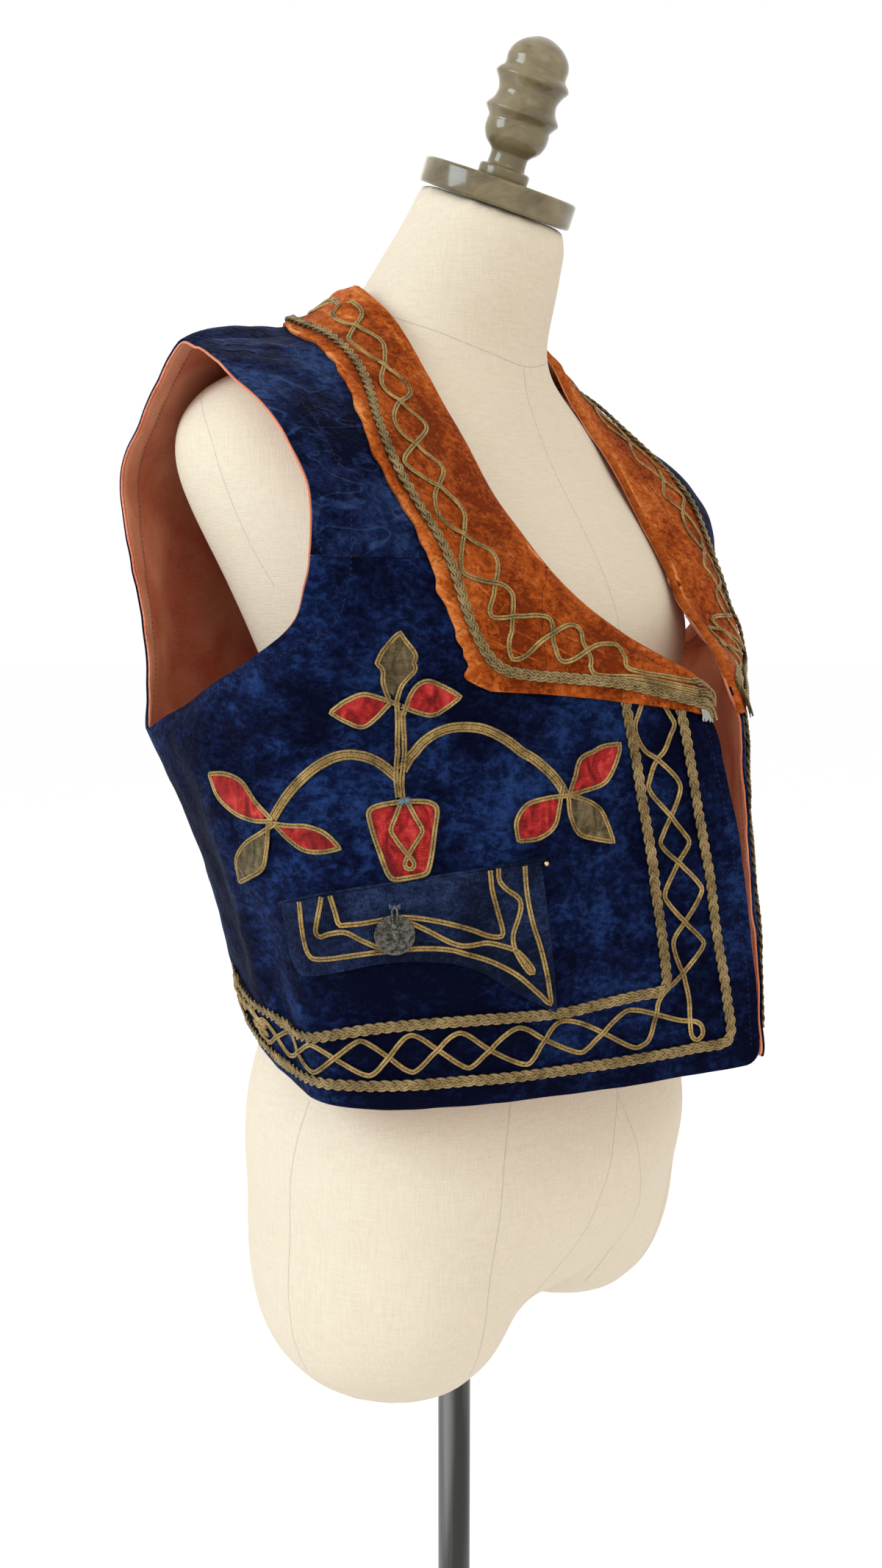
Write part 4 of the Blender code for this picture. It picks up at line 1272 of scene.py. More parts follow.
def dressed(mesh: bpy.types.Mesh, name: str, finish: Finish, replaced: Sequence[str] = (),
            smooth_angle: float = 50.0) -> bpy.types.Object:
    """Makes an object of the mesh, with its finish, riding on the body.

    Args:
        mesh: The mesh to dress.
        name: The piece's name.
        finish: Its finish.
        replaced: The frame's nodes that it stands for.
        smooth_angle: Edges sharper than this, in degrees, stay sharp.

    Returns:
        The object.
    """
    mesh.name = name
    mesh.shade_smooth()
    mesh.set_sharp_from_angle(angle=math.radians(smooth_angle))
    mesh.materials.clear()
    mesh.materials.append(finish.material())
    made = bpy.data.objects.new(name, mesh)
    bpy.context.scene.collection.objects.link(made)
    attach(made, BODY)
    if replaced:
        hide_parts(*replaced)
    LOG.info("%s: %d faces", name, len(mesh.polygons))
    return made


def thicken(piece: bpy.types.Object, thickness: float, edge: float,
            segments: int = 2) -> bpy.types.Object:
    """Gives a skin its wall and rounds its edges.

    Args:
        piece: The skin.
        thickness: How thick it gets, inwards, in metres.
        edge: The size of the rounding, in metres.
        segments: Faces across the rounding.

    Returns:
        The same piece.
    """
    wall = piece.modifiers.new("Wall", "SOLIDIFY")
    wall.thickness = thickness
    wall.offset = -1.0
    rounding = piece.modifiers.new("Edge", "BEVEL")
    rounding.limit_method = "ANGLE"
    rounding.angle_limit = math.radians(50)
    rounding.width = edge
    rounding.segments = segments
    rounding.harden_normals = False
    return piece


def ring(radius_across: float, radius_up: float, sides: int) -> np.ndarray:
    """A closed round profile."""
    turn = np.linspace(0, 2 * math.pi, sides + 1)
    return np.stack([np.cos(turn) * radius_across, np.sin(turn) * radius_up], 1)


# ---------------------------------------------------------------- trimming

STEP = 0.0018
SOUTACHE_PROFILE = np.array([
    (-1.5, 0.35), (-1.3, 0.9), (-0.8, 1.18), (-0.3, 0.85), (0, 0.35), (0.3, 0.85), (0.8, 1.18),
    (1.3, 0.9), (1.5, 0.35), (1.15, 0), (-1.15, 0), (-1.5, 0.35)]) * MM
SOUTACHE_WIDTH = 0.0029
CROSSING_GAP = 0.0016
CROSSING_LENGTH = 0.0035
CROSSING_RISE = 0.0010


class Stitch(NamedTuple):
    """A stitch's pitch along the seam, its length and half its thickness, in metres."""

    pitch: float
    length: float
    radius: float


LINING_STITCH = Stitch(0.0034, 0.0026, 0.0003)
HEM_STITCH = Stitch(0.0034, 0.0019, 0.00022)
EDGE_STITCH = Stitch(0.0034, 0.0019, 0.0002)
QUILTING_STITCH = Stitch(0.0036, 0.0026, 0.00028)
POCKET_STITCH = Stitch(0.003, 0.0019, 0.0002)


def soutache(stock: Stock, trail: Trail, size: float = 1.0) -> None:
    """Lays one soutache along the trail."""
    stock.tube(trail.even(STEP), SOUTACHE_PROFILE * size)


def side_by_side(stock: Stock, trail: Trail, count: int) -> None:
    """Lays soutaches next to each other along the trail."""
    for k in range(count):
        soutache(stock, trail.moved((k - (count - 1) / 2) * SOUTACHE_WIDTH, 0.0))


@dataclass(frozen=True)
class Plait:
    """A flat plait of three strands, each of two cords."""

    pitch: float = 0.0190
    reach: float = 0.00205
    rise: float = 0.00080
    cord: float = 0.00078
    spread: float = 0.00070
    step: float = 0.0015

    def lay(self, stock: Stock, trail: Trail) -> None:
        """Plaits along the trail.

        Args:
            stock: Takes the cords in.
            trail: The plait's middle.
        """
        line = trail.even(self.step)
        turn = 2 * math.pi * line.lengths() / self.pitch
        profile = ring(self.cord, self.cord * 0.9, 5)
        for strand in range(3):
            phase = turn + 2 * math.pi * strand / 3
            middle = line.moved(self.reach * np.sin(phase),
                                0.0013 + self.rise * np.sin(2 * phase))
            for side in (-1, 1):
                stock.tube(middle.moved(side * self.spread, 0.0), profile)


def weave(stock: Stock, first: Trail, second: Trail) -> None:
    """Lays two soutaches that go over and under each other in turn.

    Args:
        stock: Takes them in.
        first: The line of the one that goes over first.
        second: The line of the other.
    """
    lines = first.even(STEP), second.even(STEP)
    apart = np.linalg.norm(lines[0].points[:, None] - lines[1].points[None], axis=2)
    nearest = apart.min(axis=1)
    close = np.flatnonzero(nearest < CROSSING_GAP)
    groups = np.split(close, np.flatnonzero(np.diff(close) > 3) + 1)
    for k, group in enumerate(group for group in groups if len(group)):
        here = group[np.argmin(nearest[group])]
        line, at = ((lines[0], here), (lines[1], int(apart[here].argmin())))[k % 2]
        length = line.lengths()
        rise = CROSSING_RISE * bell(length - length[at], CROSSING_LENGTH)
        line.points += line.normals * rise[:, None]
    for line in lines:
        stock.tube(line, SOUTACHE_PROFILE)


def stitches(stock: Stock, trail: Trail, stitch: Stitch) -> None:
    """Sews a row of stitches along the trail.

    Args:
        stock: Takes them in.
        trail: The line of sewing.
        stitch: The sizes of one.
    """
    line = trail.even(stitch.pitch)
    for point, aside, up in zip(line.points, *line.frame()):
        sizes = Matrix([np.cross(up, aside) * stitch.length / 2, aside * stitch.radius,
                        up * stitch.radius]).transposed()
        place = Matrix.Translation(point) @ sizes.to_4x4()
        bmesh.ops.create_icosphere(stock.bm, subdivisions=1, radius=1.0, matrix=place)


def loose_end(stock: Stock, start: Vector, points: Sequence[Vector], radius: float) -> None:
    """Runs one loose thread from a start through points given as steps from it.

    Args:
        stock: Takes it in.
        start: Where it starts.
        points: Steps from the start.
        radius: Half its thickness.
    """
    path = np.array([start] + [start + step for step in points])
    smooth = spline(path, np.linspace(0, len(path) - 1, 6 * len(path)))
    out = unit(np.cross(np.gradient(smooth, axis=0), (0.3, 0.2, 0.9)))
    taper = np.linspace(1, 0.5, len(smooth))
    stock.tube(Trail(smooth, out), ring(radius, radius, 5), taper)


# ---------------------------------------------------------------- the vest


@dataclass(frozen=True)
class Panels:
    """The velvet fronts, yokes and back over their cotton lining. Thicknesses and
    gaps are in metres, widths on the cloth in centimetres."""

    velvet: float = 0.00135
    lining_top: float = 0.0015
    lining: float = 0.0011
    edge: float = 0.0004
    seam: float = 0.00012
    overhang: float = 0.0008
    facing: float = 0.0004
    facing_gap: float = 0.00015
    facing_rim: float = 0.0001
    facing_width: float = 2.0
    facing_ease: float = 1.1
    edge_facing: float = 3.2
    hem: float = 2.3
    thread_lift: float = 0.0001
    back_skip: int = 2
    lining_skip: int = 4

    def skin(self, stock: Stock, cut: Cut, low: float, high: float, lift: float,
             skip: int = 1, overhang: float = 0.0) -> None:
        """Adds the cloth between two levels, this far over the outside.

        Args:
            stock: Takes it in.
            cut: The cut piece.
            low: The lowest level.
            high: The highest level.
            lift: Metres over the outside, below 0 within.
            skip: Takes one column in this many.
            overhang: How far it stands out past the open edges, in metres.
        """
        points, normals, uv = cut.spread(low, high, lift, skip)
        levels = uv[:, 0, 1] / CM
        ends = points[:, -1] - points[:, -2]
        sewn = levels <= ARMPIT_LEVEL
        points[:, -1] += unit(ends) * np.where(sewn, -self.seam, overhang)[:, None]
        if cut.inner_corner == 0:
            points[:, 0] += unit(points[:, 0] - points[:, 1]) * overhang
        stock.add(grid_mesh(points, uv, normals))

    def build(self, sides: Sequence[VestSide]) -> None:
        """Makes every panel with its lining, facing and topstitching.

        Args:
            sides: Both sides of the vest.
        """
        for side in sides:
            self._front(side)
        self._back(sides)
        for side in sides:
            self._facing(side)

    def _front(self, side: VestSide) -> None:
        """A front, its yoke and their lining.

        Args:
            side: The side of the vest.
        """
        word, top = side.hand.word, SHOULDER_LEVEL - SEWN_GAP
        for name, low, high, finish, node in (
                ("lower_front", 0.0, YOKE_LEVEL - SEWN_GAP, VELVET, "front"),
                ("yoke_front", YOKE_LEVEL + SEWN_GAP, top, YOKE_VELVET, "yoke")):
            stock = Stock()
            self.skin(stock, side.front, low, high, 0.0)
            piece = stock.piece(f"{name}_{word}", finish, [f"{node}_{word}"])
            thicken(piece, self.velvet, self.edge)
            flat, area = side.front.flat_size(low, high)
        stock = Stock()
        self.skin(stock, side.front, 0.0, top, -self.lining_top, self.lining_skip, self.overhang)
        piece = stock.piece(f"cotton_lining_{word}", LINING, [f"lining_{word}"])
        thicken(piece, self.lining, self.edge)
        flat, area = side.front.flat_size(0.0, SHOULDER_LEVEL)

    def _back(self, sides: Sequence[VestSide]) -> None:
        """The back in one piece, and its lining.

        Args:
            sides: Both sides of the vest.
        """
        (width, length), area = sides[0].back.flat_size(0.0, SHOULDER_LEVEL)
        for name, finish, node, lift, skip, overhang, thickness in (
                ("velvet_back", VELVET, "back", 0.0, self.back_skip, 0.0, self.velvet),
                ("cotton_lining_back", LINING, "lining_back", -self.lining_top,
                 self.lining_skip, self.overhang, self.lining)):
            stock = Stock()
            for side in sides:
                self.skin(stock, side.back, 0.0, SHOULDER_LEVEL - SEWN_GAP, lift, skip, overhang)
            bmesh.ops.remove_doubles(stock.bm, verts=stock.bm.verts[:], dist=1e-6)
            piece = thicken(stock.piece(name, finish, [node]), thickness, self.edge)

    def _facing(self, side: VestSide) -> None:
        """The bands of lighter cotton inside the armhole and the edge, and all the
        topstitching.

        Args:
            side: The side of the vest.
        """
        word = side.hand.word
        levels = np.arange(ARMPIT_LEVEL - self.facing_width, SHOULDER_LEVEL, 0.5)
        lift = -(self.lining_top + self.lining + self.facing_gap)
        stock, sewing = Stock(), []
        for cut in (side.front, side.back):
            distance = (cut.width_at(levels)[:, None]
                        - np.linspace(self.facing_width, 0.05, 5)[None])
            rows = np.broadcast_to(levels[:, None], distance.shape)
            points, normals = cut.read(distance, rows, lift)
            stock.add(grid_mesh(points, np.stack([distance, rows], 2) * CM, normals))
            sewing.append(Trail(*cut.read(distance[:, 0] + 0.12, levels, lift - self.facing)))
        piece = thicken(stock.piece(f"armhole_facing_{word}", FACING), self.facing,
                        self.facing_rim, 1)
        sewing.append(self._edge_facing(side, lift))
        stock = Stock()
        for line in sewing:
            stitches(stock, line, LINING_STITCH)
        stock.piece(f"lining_topstitch_{word}", BROWN_THREAD)
        stock = Stock()
        levels = np.arange(ARMPIT_LEVEL + 0.4, SHOULDER_LEVEL - 0.2, 0.5)
        for cut in (side.front, side.back):
            line = Trail(*cut.read(cut.width_at(levels) - self.hem, levels, self.thread_lift))
            stitches(stock, line, HEM_STITCH)
        line = side.on_front(curve(((0.6, 1.3), (0.6, 12.0), (0.6, 22.4))), self.thread_lift)
        stitches(stock, line, EDGE_STITCH)
        stock.piece(f"hem_stitching_{word}", DARK_THREAD)

    def _edge_facing(self, side: VestSide, lift: float) -> Trail:
        """The lighter band inside the front's edge and the lower neckline.

        Args:
            side: The side of the vest.
            lift: Metres over the cloth, below 0 within.

        Returns:
            The line of sewing down its middle.
        """
        levels = np.arange(1.3, 30.2, 0.6)
        rows = np.broadcast_to(levels[:, None], (len(levels), 6))
        distance = np.broadcast_to(np.linspace(0.05, self.edge_facing, 6)[None], rows.shape)
        points, normals = side.front.read(distance, rows, lift)
        stock = Stock(grid_mesh(points, np.stack([distance, rows], 2) * CM, normals))
        piece = thicken(stock.piece(f"edge_facing_{side.hand.word}", FACING), self.facing,
                        self.facing_rim, 1)
        middle = np.full(len(levels), self.edge_facing / 2)
        return Trail(*side.front.read(middle, levels, lift - self.facing))


@dataclass(frozen=True)
class Collar:
    """Half of the orange collar: its main piece, the tip beyond the piecing
    seam, the quilting, a plaited braid along its edge and a lattice within.
    Lifts and thicknesses are in metres, places and levels in centimetres."""

    side: VestSide
    lift: float = 0.0035
    thickness: float = 0.0022
    line_step: float = 0.3
    across: int = 46
    seam_gap: float = 0.0002
    edge: float = 0.0007
    trim_gap: float = 0.0002
    tip_top: float = 32.6
    strands: int = 10
    loose_threads: int = 14
    quilting: tuple[Place, ...] = (
        (22.8, 1), (25, 1.4), (28.2, 1.9), (29.4, 2.25), (30.5, 2.3), (32.2, 2.1), (33.8, 2.2),
        (35.8, 2.5), (38, 2.75), (42.4, 2.3), (46.8, 1.5), (50, 1.1), (53, 1.1), (70, 1.1))
    braid_front: tuple[Place, ...] = (
        (0.4, 23.35), (3.8, 23.6), (6.7, 23.9), (9.9, 23.95), (12.4, 23.95), (13.8, 24.3), (14.45, 25.3),
        (14.4, 28), (14.25, 29.7), (14.15, 31.9), (14.35, 34), (14.8, 36.3), (15, 38.1), (14.9, 39.6),
        (14.1, 41.8), (12.8, 44.4), (12, 46.9), (11.4, 50), (11, 52.9))
    braid_back: tuple[Place, ...] = (
        (11.3, 52), (10, 51), (8.5, 50), (7.3, 48.9), (5.9, 47.5), (4.2, 46.4), (2.2, 45.7),
        (0.05, 45.4))
    cords_front: tuple[tuple[Place, ...], tuple[Place, ...]] = (
        ((0.3, 24.65), (2.6, 24.8), (4.7, 24.9), (5.7, 25.2), (5.2, 26.3), (4.95, 27.2), (5.7, 27.3),
         (6.7, 27), (8.1, 26.2), (9.5, 25.4), (10.05, 25.4), (10.1, 26), (9.6, 27), (8.9, 28.4), (8.75, 29),
         (9.4, 29.2), (10.8, 29.1), (12.5, 28.95), (12.75, 29.3), (12.2, 30.2), (11.5, 31.4), (10.9, 32.8),
         (10.95, 33.4), (11.7, 33.9), (12.6, 34.6), (13.3, 35.3), (13.4, 36), (13, 36.8), (12.1, 37.5),
         (11.35, 38.2), (11.35, 38.7), (12.1, 39.4), (12.7, 40), (13.05, 40.9), (12.7, 41.8), (11.6, 42.8),
         (10.2, 43.5), (9.6, 44.1), (9.55, 44.8), (10.1, 45.8), (10.7, 46.9), (10.9, 48.3), (10.6, 49.2),
         (9.4, 50.2), (8.3, 50.8), (7.9, 51.4), (7.75, 52.2)),
        ((0.3, 24.2), (2.5, 24.35), (5.3, 24.5), (7.7, 24.4), (8.15, 24.7), (7.7, 26.5), (7.05, 28.2),
         (7.3, 28.6), (7.9, 28.55), (9.1, 28), (11.1, 26.6), (12.6, 25.4), (13.15, 25.3), (13, 26.2),
         (12.1, 27.7), (11.1, 29.3), (10.75, 30.3), (10.95, 31.05), (11.9, 31.4), (13.3, 31.8),
         (13.6, 32.3), (13.1, 33.4), (11.8, 35), (11.35, 35.6), (11.4, 36.2), (12.1, 37), (13, 37.6),
         (14.1, 38.25), (14.15, 38.75), (13.1, 39.5), (11, 40.75), (10.5, 41.3), (10.7, 41.9), (11.3, 42.7),
         (11.85, 43.8), (11.4, 44.8), (10, 46.4), (9.1, 47.7), (8.95, 48.5), (9.2, 49.9), (9.45, 51.2),
         (9.1, 52.4), (8.3, 52.8)))
    cords_back: tuple[tuple[Place, ...], tuple[Place, ...]] = (
        ((8.2, 52.1), (8.35, 51.4), (7.4, 50.9), (5.8, 50.8), (5, 49.4), (4.15, 48), (2.5, 48), (1, 48.35),
         (0.05, 47.2)),
        ((8.2, 52.4), (7.4, 51.8), (7.4, 50.9), (6.6, 49.5), (5, 49.4), (3.3, 49.4), (2.5, 48), (1.5, 46.9),
         (0.05, 47.2)))
    third_cord: tuple[Place, ...] = ((0.4, 23.9), (2.5, 24.02), (4.2, 24.15), (6.2, 24.28))

    def seam(self, level: np.ndarray) -> np.ndarray:
        """How far the piecing seam is from the inner edge.

        Args:
            level: Levels over the hem.

        Returns:
            Centimetres, 0 where there is none.
        """
        cut = self.side.front
        row = cut.row_at(level)
        found = spline(cut.column("seam"), row)[..., 0] - 0.4 * np.clip(row - 7, 0, 1)
        return np.where(row < 8, np.maximum(found, 0.0), 0.0)

    def band(self, level: np.ndarray) -> np.ndarray:
        """How wide the collar is on the front.

        Args:
            level: Levels over the hem.

        Returns:
            Centimetres.
        """
        cut = self.side.front
        found = spline(cut.column("band"), cut.row_at(level))[..., 0]
        ripple = 0.07 * np.sin(level * 2.1) + 0.05 * np.sin(level * 3.7 + 1.0)
        return found + 0.55 * bell(level - 39.5, 3.0) + ripple

    def relief(self, distance: np.ndarray, run: np.ndarray, width: np.ndarray) -> np.ndarray:
        """Metres by which the quilting, its puckers and the edge shape the collar.

        Args:
            distance: Centimetres from the inner edge.
            run: Centimetres round the collar.
            width: The collar's width there.

        Returns:
            The heights.
        """
        sewn = np.interp(run, *np.array(self.quilting).T)
        groove = -0.0010 * bell(distance - sewn, 0.16)
        swing = 2 * math.pi * run / 1.25 + 1.4 * np.sin(run * 0.9) + distance * 1.3
        puckers = 0.00070 * np.sin(swing) * bell(distance - sewn * 0.5, 0.75)
        outer = 0.00022 * np.sin(swing * 0.61 + 1.0) * bell(distance - sewn - 0.9, 0.7)
        broad = 0.00055 * np.sin(run * 0.83 + distance * 0.7) * np.sin(distance * 1.1 + 0.4)
        edge = -0.0012 * (np.exp(-distance / 0.28) + np.exp(-(width - distance) / 0.28))
        return groove + puckers + outer + broad + edge

    def skin(self, cut: Cut, levels: np.ndarray, start: np.ndarray, end: np.ndarray,
             width: np.ndarray, run: np.ndarray) -> tuple[np.ndarray, ...]:
        """The velvet's surface over lines from a start to an end.

        Args:
            cut: The cut piece it lies over.
            levels: The lines' levels.
            start: Where each line starts, in centimetres from the inner edge.
            end: Where it ends.
            width: How wide the collar is there.
            run: How far round the collar each line is, in centimetres.

        Returns:
            Points, directions, UV places and nearness to the collar's edges.
        """
        part = np.linspace(0, 1, self.across)[None]
        distance = start[:, None] + (end - start)[:, None] * part
        rows = np.broadcast_to(levels[:, None], distance.shape)
        runs = np.broadcast_to(run[:, None], distance.shape)
        lift = self.lift + self.relief(distance, runs, width[:, None])
        points, normals = cut.read(distance, rows, lift)
        near = np.exp(-np.maximum(width[:, None] - distance, 0) / 0.55)
        rim = np.clip(near + 0.75 * np.exp(-distance / 0.9), 0, 1)
        return points, normals, np.stack([distance, runs], 2) * CM, rim

    def build(self) -> None:
        """Makes the collar's pieces and its trimming."""
        word = self.side.hand.word
        levels = np.arange(COLLAR_FOOT, SHOULDER_LEVEL + 1e-6, self.line_step)
        seam, band = self.seam(levels), self.band(levels)
        start = seam + np.where(seam > 0, self.seam_gap / CM, 0)
        front = self.skin(self.side.front, levels, start, band, band, levels)
        rows = curve(COLLAR_BACK[::-1], 6)[1:]
        back_levels = self.side.back.level_at(rows[:, 0])
        back = self.skin(self.side.back, back_levels, np.zeros(len(rows)), rows[:, 1],
                         rows[:, 1], 2 * SHOULDER_LEVEL - back_levels)
        whole = [np.vstack(pair) for pair in zip(front, back)]
        main = self._velvet("collar", whole)
        levels = levels[levels < self.tip_top]
        seam = self.seam(levels)
        skin = self.skin(self.side.front, levels, np.zeros(len(levels)),
                         seam - self.seam_gap / CM, self.band(levels), levels)
        tip = self._velvet("collar_tip", skin)
        self._trim(word)
        self._rolled_edge(word)
        self._frayed_ends(word)

    def _velvet(self, name: str, skin: Sequence[np.ndarray]) -> bpy.types.Object:
        """A piece of the collar's velvet, made over a skin.

        Args:
            name: The frame's name for it.
            skin: What skin() returns.

        Returns:
            The piece.
        """
        points, normals, uv, rim = skin
        word = self.side.hand.word
        stock = Stock(grid_mesh(points, uv, normals, rim))
        piece = stock.piece(f"velvet_{name}_{word}", COLLAR_VELVET, [f"{name}_{word}"])
        return thicken(piece, self.thickness, self.edge, 3)

    def _trim(self, word: str) -> None:
        """The braid, the lattice and the row of quilting.

        Args:
            word: The side's word in the names of pieces.
        """
        side, lift = self.side, self.lift + self.trim_gap
        stock = Stock()
        braid = side.on_front(self.braid_front, lift) + side.on_back(self.braid_back, lift)
        Plait().lay(stock, braid.rounded(10))
        stock.piece(f"edge_plait_{word}", BRAID, [f"collar_braid_{word}"])
        stock = Stock()
        weave(stock, *(side.on_front(curve(front, 5), lift) + side.on_back(back, lift).rounded(10)
                       for front, back in zip(self.cords_front, self.cords_back)))
        soutache(stock, side.on_front(curve(self.third_cord), lift))
        stock.piece(f"collar_weave_{word}", SOUTACHE, [f"collar_lattice_{word}"])
        stock = Stock()
        levels = np.arange(26.0, SHOULDER_LEVEL, 0.4)
        sewn = np.interp(levels, *np.array(self.quilting).T) + side.inset(levels)
        line = side.on_front(np.stack([sewn, levels], 1), self.lift - 0.0007)
        stitches(stock, line, QUILTING_STITCH)
        stock.piece(f"quilting_{word}", RUST_THREAD)

    def _frayed_ends(self, word: str) -> None:
        """The cut ends of the plait and the cords, turned down at the collar's foot.

        Args:
            word: The side's word in the names of pieces.
        """
        stock, pale = Stock(), Stock()
        for k in range(self.strands):
            level, sway = 24.8 - 0.19 * k, 0.14 * math.sin(2.3 * k)
            path = ((1.1, level), (0.6, level + 0.03), (0.22 + sway * 0.5, level - 0.25),
                    (0.24 + sway, level - 0.75 - 0.2 * math.cos(3.1 * k)))
            lift = self.lift + 0.0014 + 0.0006 * (k % 3)
            stock.tube(self.side.on_front(curve(path, 5), lift).even(0.001),
                       ring(0.00085, 0.0007, 6))
        for k in range(self.loose_threads):
            sway = 0.22 * math.sin(1.9 * k)
            path = ((0.75 + sway, 23.1), (0.7 + sway * 1.2, 22.7),
                    (0.72 + sway * 1.7, 22.3 + 0.12 * math.cos(2.7 * k)))
            pale.tube(self.side.on_front(curve(path, 4), self.lift + 0.001).even(0.001),
                      ring(0.00045, 0.0004, 5))
        stock.piece(f"frayed_ends_{word}", BRAID)
        pale.piece(f"frayed_tips_{word}", FRAYED_THREAD)

    def _rolled_edge(self, word: str) -> None:
        """The collar's velvet turned in over the cloth along the neckline.

        Args:
            word: The side's word in the names of pieces.
        """
        cut, back = self.side.front, self.side.back
        levels = np.arange(COLLAR_FOOT, SHOULDER_LEVEL, 0.4)
        front = Trail(*cut.read(np.full(len(levels), 0.03), levels, -0.0002))
        up = np.arange(SHOULDER_LEVEL, NECK_LEVEL - 0.01, -0.3)
        behind = Trail(*back.read(np.full(len(up), 0.03), up, -0.0002))
        stock = Stock()
        stock.tube((front + behind).even(0.004).eased(4), ring(0.0014, 0.0027, 12))
        stock.piece(f"rolled_edge_{word}", ROLLED_VELVET)


@dataclass(frozen=True)
class Borders:
    """Two plaits round the border with a woven lattice between them."""

    lift: float = 0.0006
    ease: int = 3
    outer: tuple[Place, ...] = (
        (2.3, 23.4), (2.4, 20.3), (2.6, 16.7), (2.6, 13.5), (2.5, 9.6), (2.3, 6.2), (2.05, 3.3),
        (2.05, 2.3), (2.35, 1.8), (3.1, 1.72), (4.5, 1.75), (7.9, 1.65), (11, 1.58), (17.1, 1.52),
        (23.7, 1.5), (27.4, 1.3), (29.8, 1.12), (33.5, 1), (36, 1.05), (99, 1.25))
    outer_back: tuple[Place, ...] = ((99, 1.25), (15, 1.4), (9, 1.5), (4, 1.5), (0, 1.5))
    inner: tuple[Place, ...] = (
        (6, 23.4), (6, 21), (6.2, 17.8), (6.3, 14.7), (6.3, 11.4), (6.2, 8.8), (6.1, 6.5), (6.15, 5.8),
        (6.5, 5.52), (7.3, 5.48), (8.4, 5.42), (10.8, 5.2), (13.1, 4.98), (16.9, 5.03), (20.3, 5.03),
        (23.5, 4.8), (25.9, 4.35), (27.8, 3.85), (30, 3.55), (32.4, 3.5), (36, 3.7), (99, 4.05))
    inner_back: tuple[Place, ...] = ((99, 4.05), (15, 4.4), (9, 4.8), (4, 4.9), (0, 4.9))
    cords: tuple[tuple[Place, ...], tuple[Place, ...]] = (
        ((4.6, 23.4), (5.2, 22.3), (5.6, 21.6), (5.5, 20.9), (4.6, 19.9), (3.8, 18.8), (3.5, 18.1),
         (3.65, 17.5), (4.5, 16.2), (5.3, 15), (5.5, 14.4), (4.5, 13.2), (3.4, 11.9), (3.25, 11.2),
         (4.5, 9.6), (5.35, 8.6), (5.4, 7.8), (5, 6.4), (4.7, 5), (4.7, 3.5), (4.65, 2.6), (4.3, 2.2),
         (3.9, 2.5), (3.95, 3.05), (4.4, 3.4), (5.4, 3.6), (7, 4.2), (8.3, 4.6), (9.1, 4.5), (10.4, 3.5),
         (11.4, 2.6), (12.1, 2.5), (14, 3.45), (15.2, 4.25), (16, 4.25), (17.4, 3.25), (18.4, 2.35),
         (19, 2.35), (20.5, 3.45), (21.6, 4.25), (22.3, 4.2), (23.3, 3.1), (24.2, 2.15), (24.9, 2.15),
         (26.4, 2.85), (27.8, 3.35), (28.6, 3.1), (29.8, 2.3), (30.9, 1.75), (31.6, 1.8), (32.8, 2.4),
         (33.9, 3.05), (34.6, 3), (35.8, 2.35), (36.9, 1.75), (37.6, 1.8), (38.7, 2.45), (99, 2.95)),
        ((3.5, 23.4), (3.05, 22.3), (2.95, 21.8), (3.4, 21.2), (4.6, 19.9), (5.4, 18.6), (5.6, 17.8),
         (4.6, 16.2), (3.9, 15.1), (3.65, 14.4), (4.6, 13.2), (5.4, 12), (5.7, 11.3), (5.5, 10.8),
         (4.5, 9.5), (3.6, 8.5), (3.5, 7.9), (5.1, 6.35), (6.1, 5.55), (6.65, 4.95), (7, 4), (7.4, 2.8),
         (7.9, 2.4), (8.6, 2.4), (10.4, 3.5), (11.6, 4.15), (12.6, 4.45), (13.3, 4.3), (14.1, 3.4),
         (14.8, 2.4), (15.5, 2.2), (17.4, 3.2), (18.8, 4.25), (19.5, 4.25), (20.5, 3.45), (21.7, 2.35),
         (22.3, 2.35), (23.3, 3.1), (24.6, 3.95), (25.2, 3.85), (26.4, 2.9), (27.7, 1.85), (28.4, 1.75),
         (29.8, 2.35), (30.9, 3.05), (31.6, 3), (32.8, 2.35), (33.9, 1.7), (34.6, 1.75), (35.8, 2.4),
         (36.9, 3.05), (37.6, 3.05), (38.7, 2.45), (99, 2.05)))
    cords_back: tuple[tuple[Place, ...], tuple[Place, ...]] = (
        ((99, 2.95), (18.5, 3.4), (17.9, 3.4), (16.7, 2.7), (15.5, 2), (14.9, 2), (13.7, 2.85),
         (12.5, 3.75), (11.9, 3.75), (10.7, 3), (9.5, 2.15), (8.9, 2.15), (7.7, 3.1), (6.5, 4), (5.9, 4),
         (4.7, 3.15), (3.5, 2.3), (2.9, 2.3), (1.6, 3.2), (0.3, 4.05), (0, 4.1)),
        ((99, 2.05), (18.5, 1.9), (17.9, 1.9), (16.7, 2.7), (15.5, 3.55), (14.9, 3.55), (13.7, 2.85),
         (12.5, 2.1), (11.9, 2.1), (10.7, 3), (9.5, 3.9), (8.9, 3.9), (7.7, 3.1), (6.5, 2.2), (5.9, 2.2),
         (4.7, 3.15), (3.5, 4.1), (2.9, 4.1), (1.6, 3.2), (0.3, 2.3), (0, 2.25)))

    def trail(self, side: VestSide, front: Sequence[Place], back: Sequence[Place],
              steps: int) -> Trail:
        """A line down the front, round its corner and along the hem to the back.

        Args:
            side: The side of the vest.
            front: The line's places on the front.
            back: Its places on the back.
            steps: How many times each stretch is split.

        Returns:
            The line.
        """
        return (side.on_front(curve(front, steps), self.lift)
                + side.on_back(curve(back, steps), self.lift))

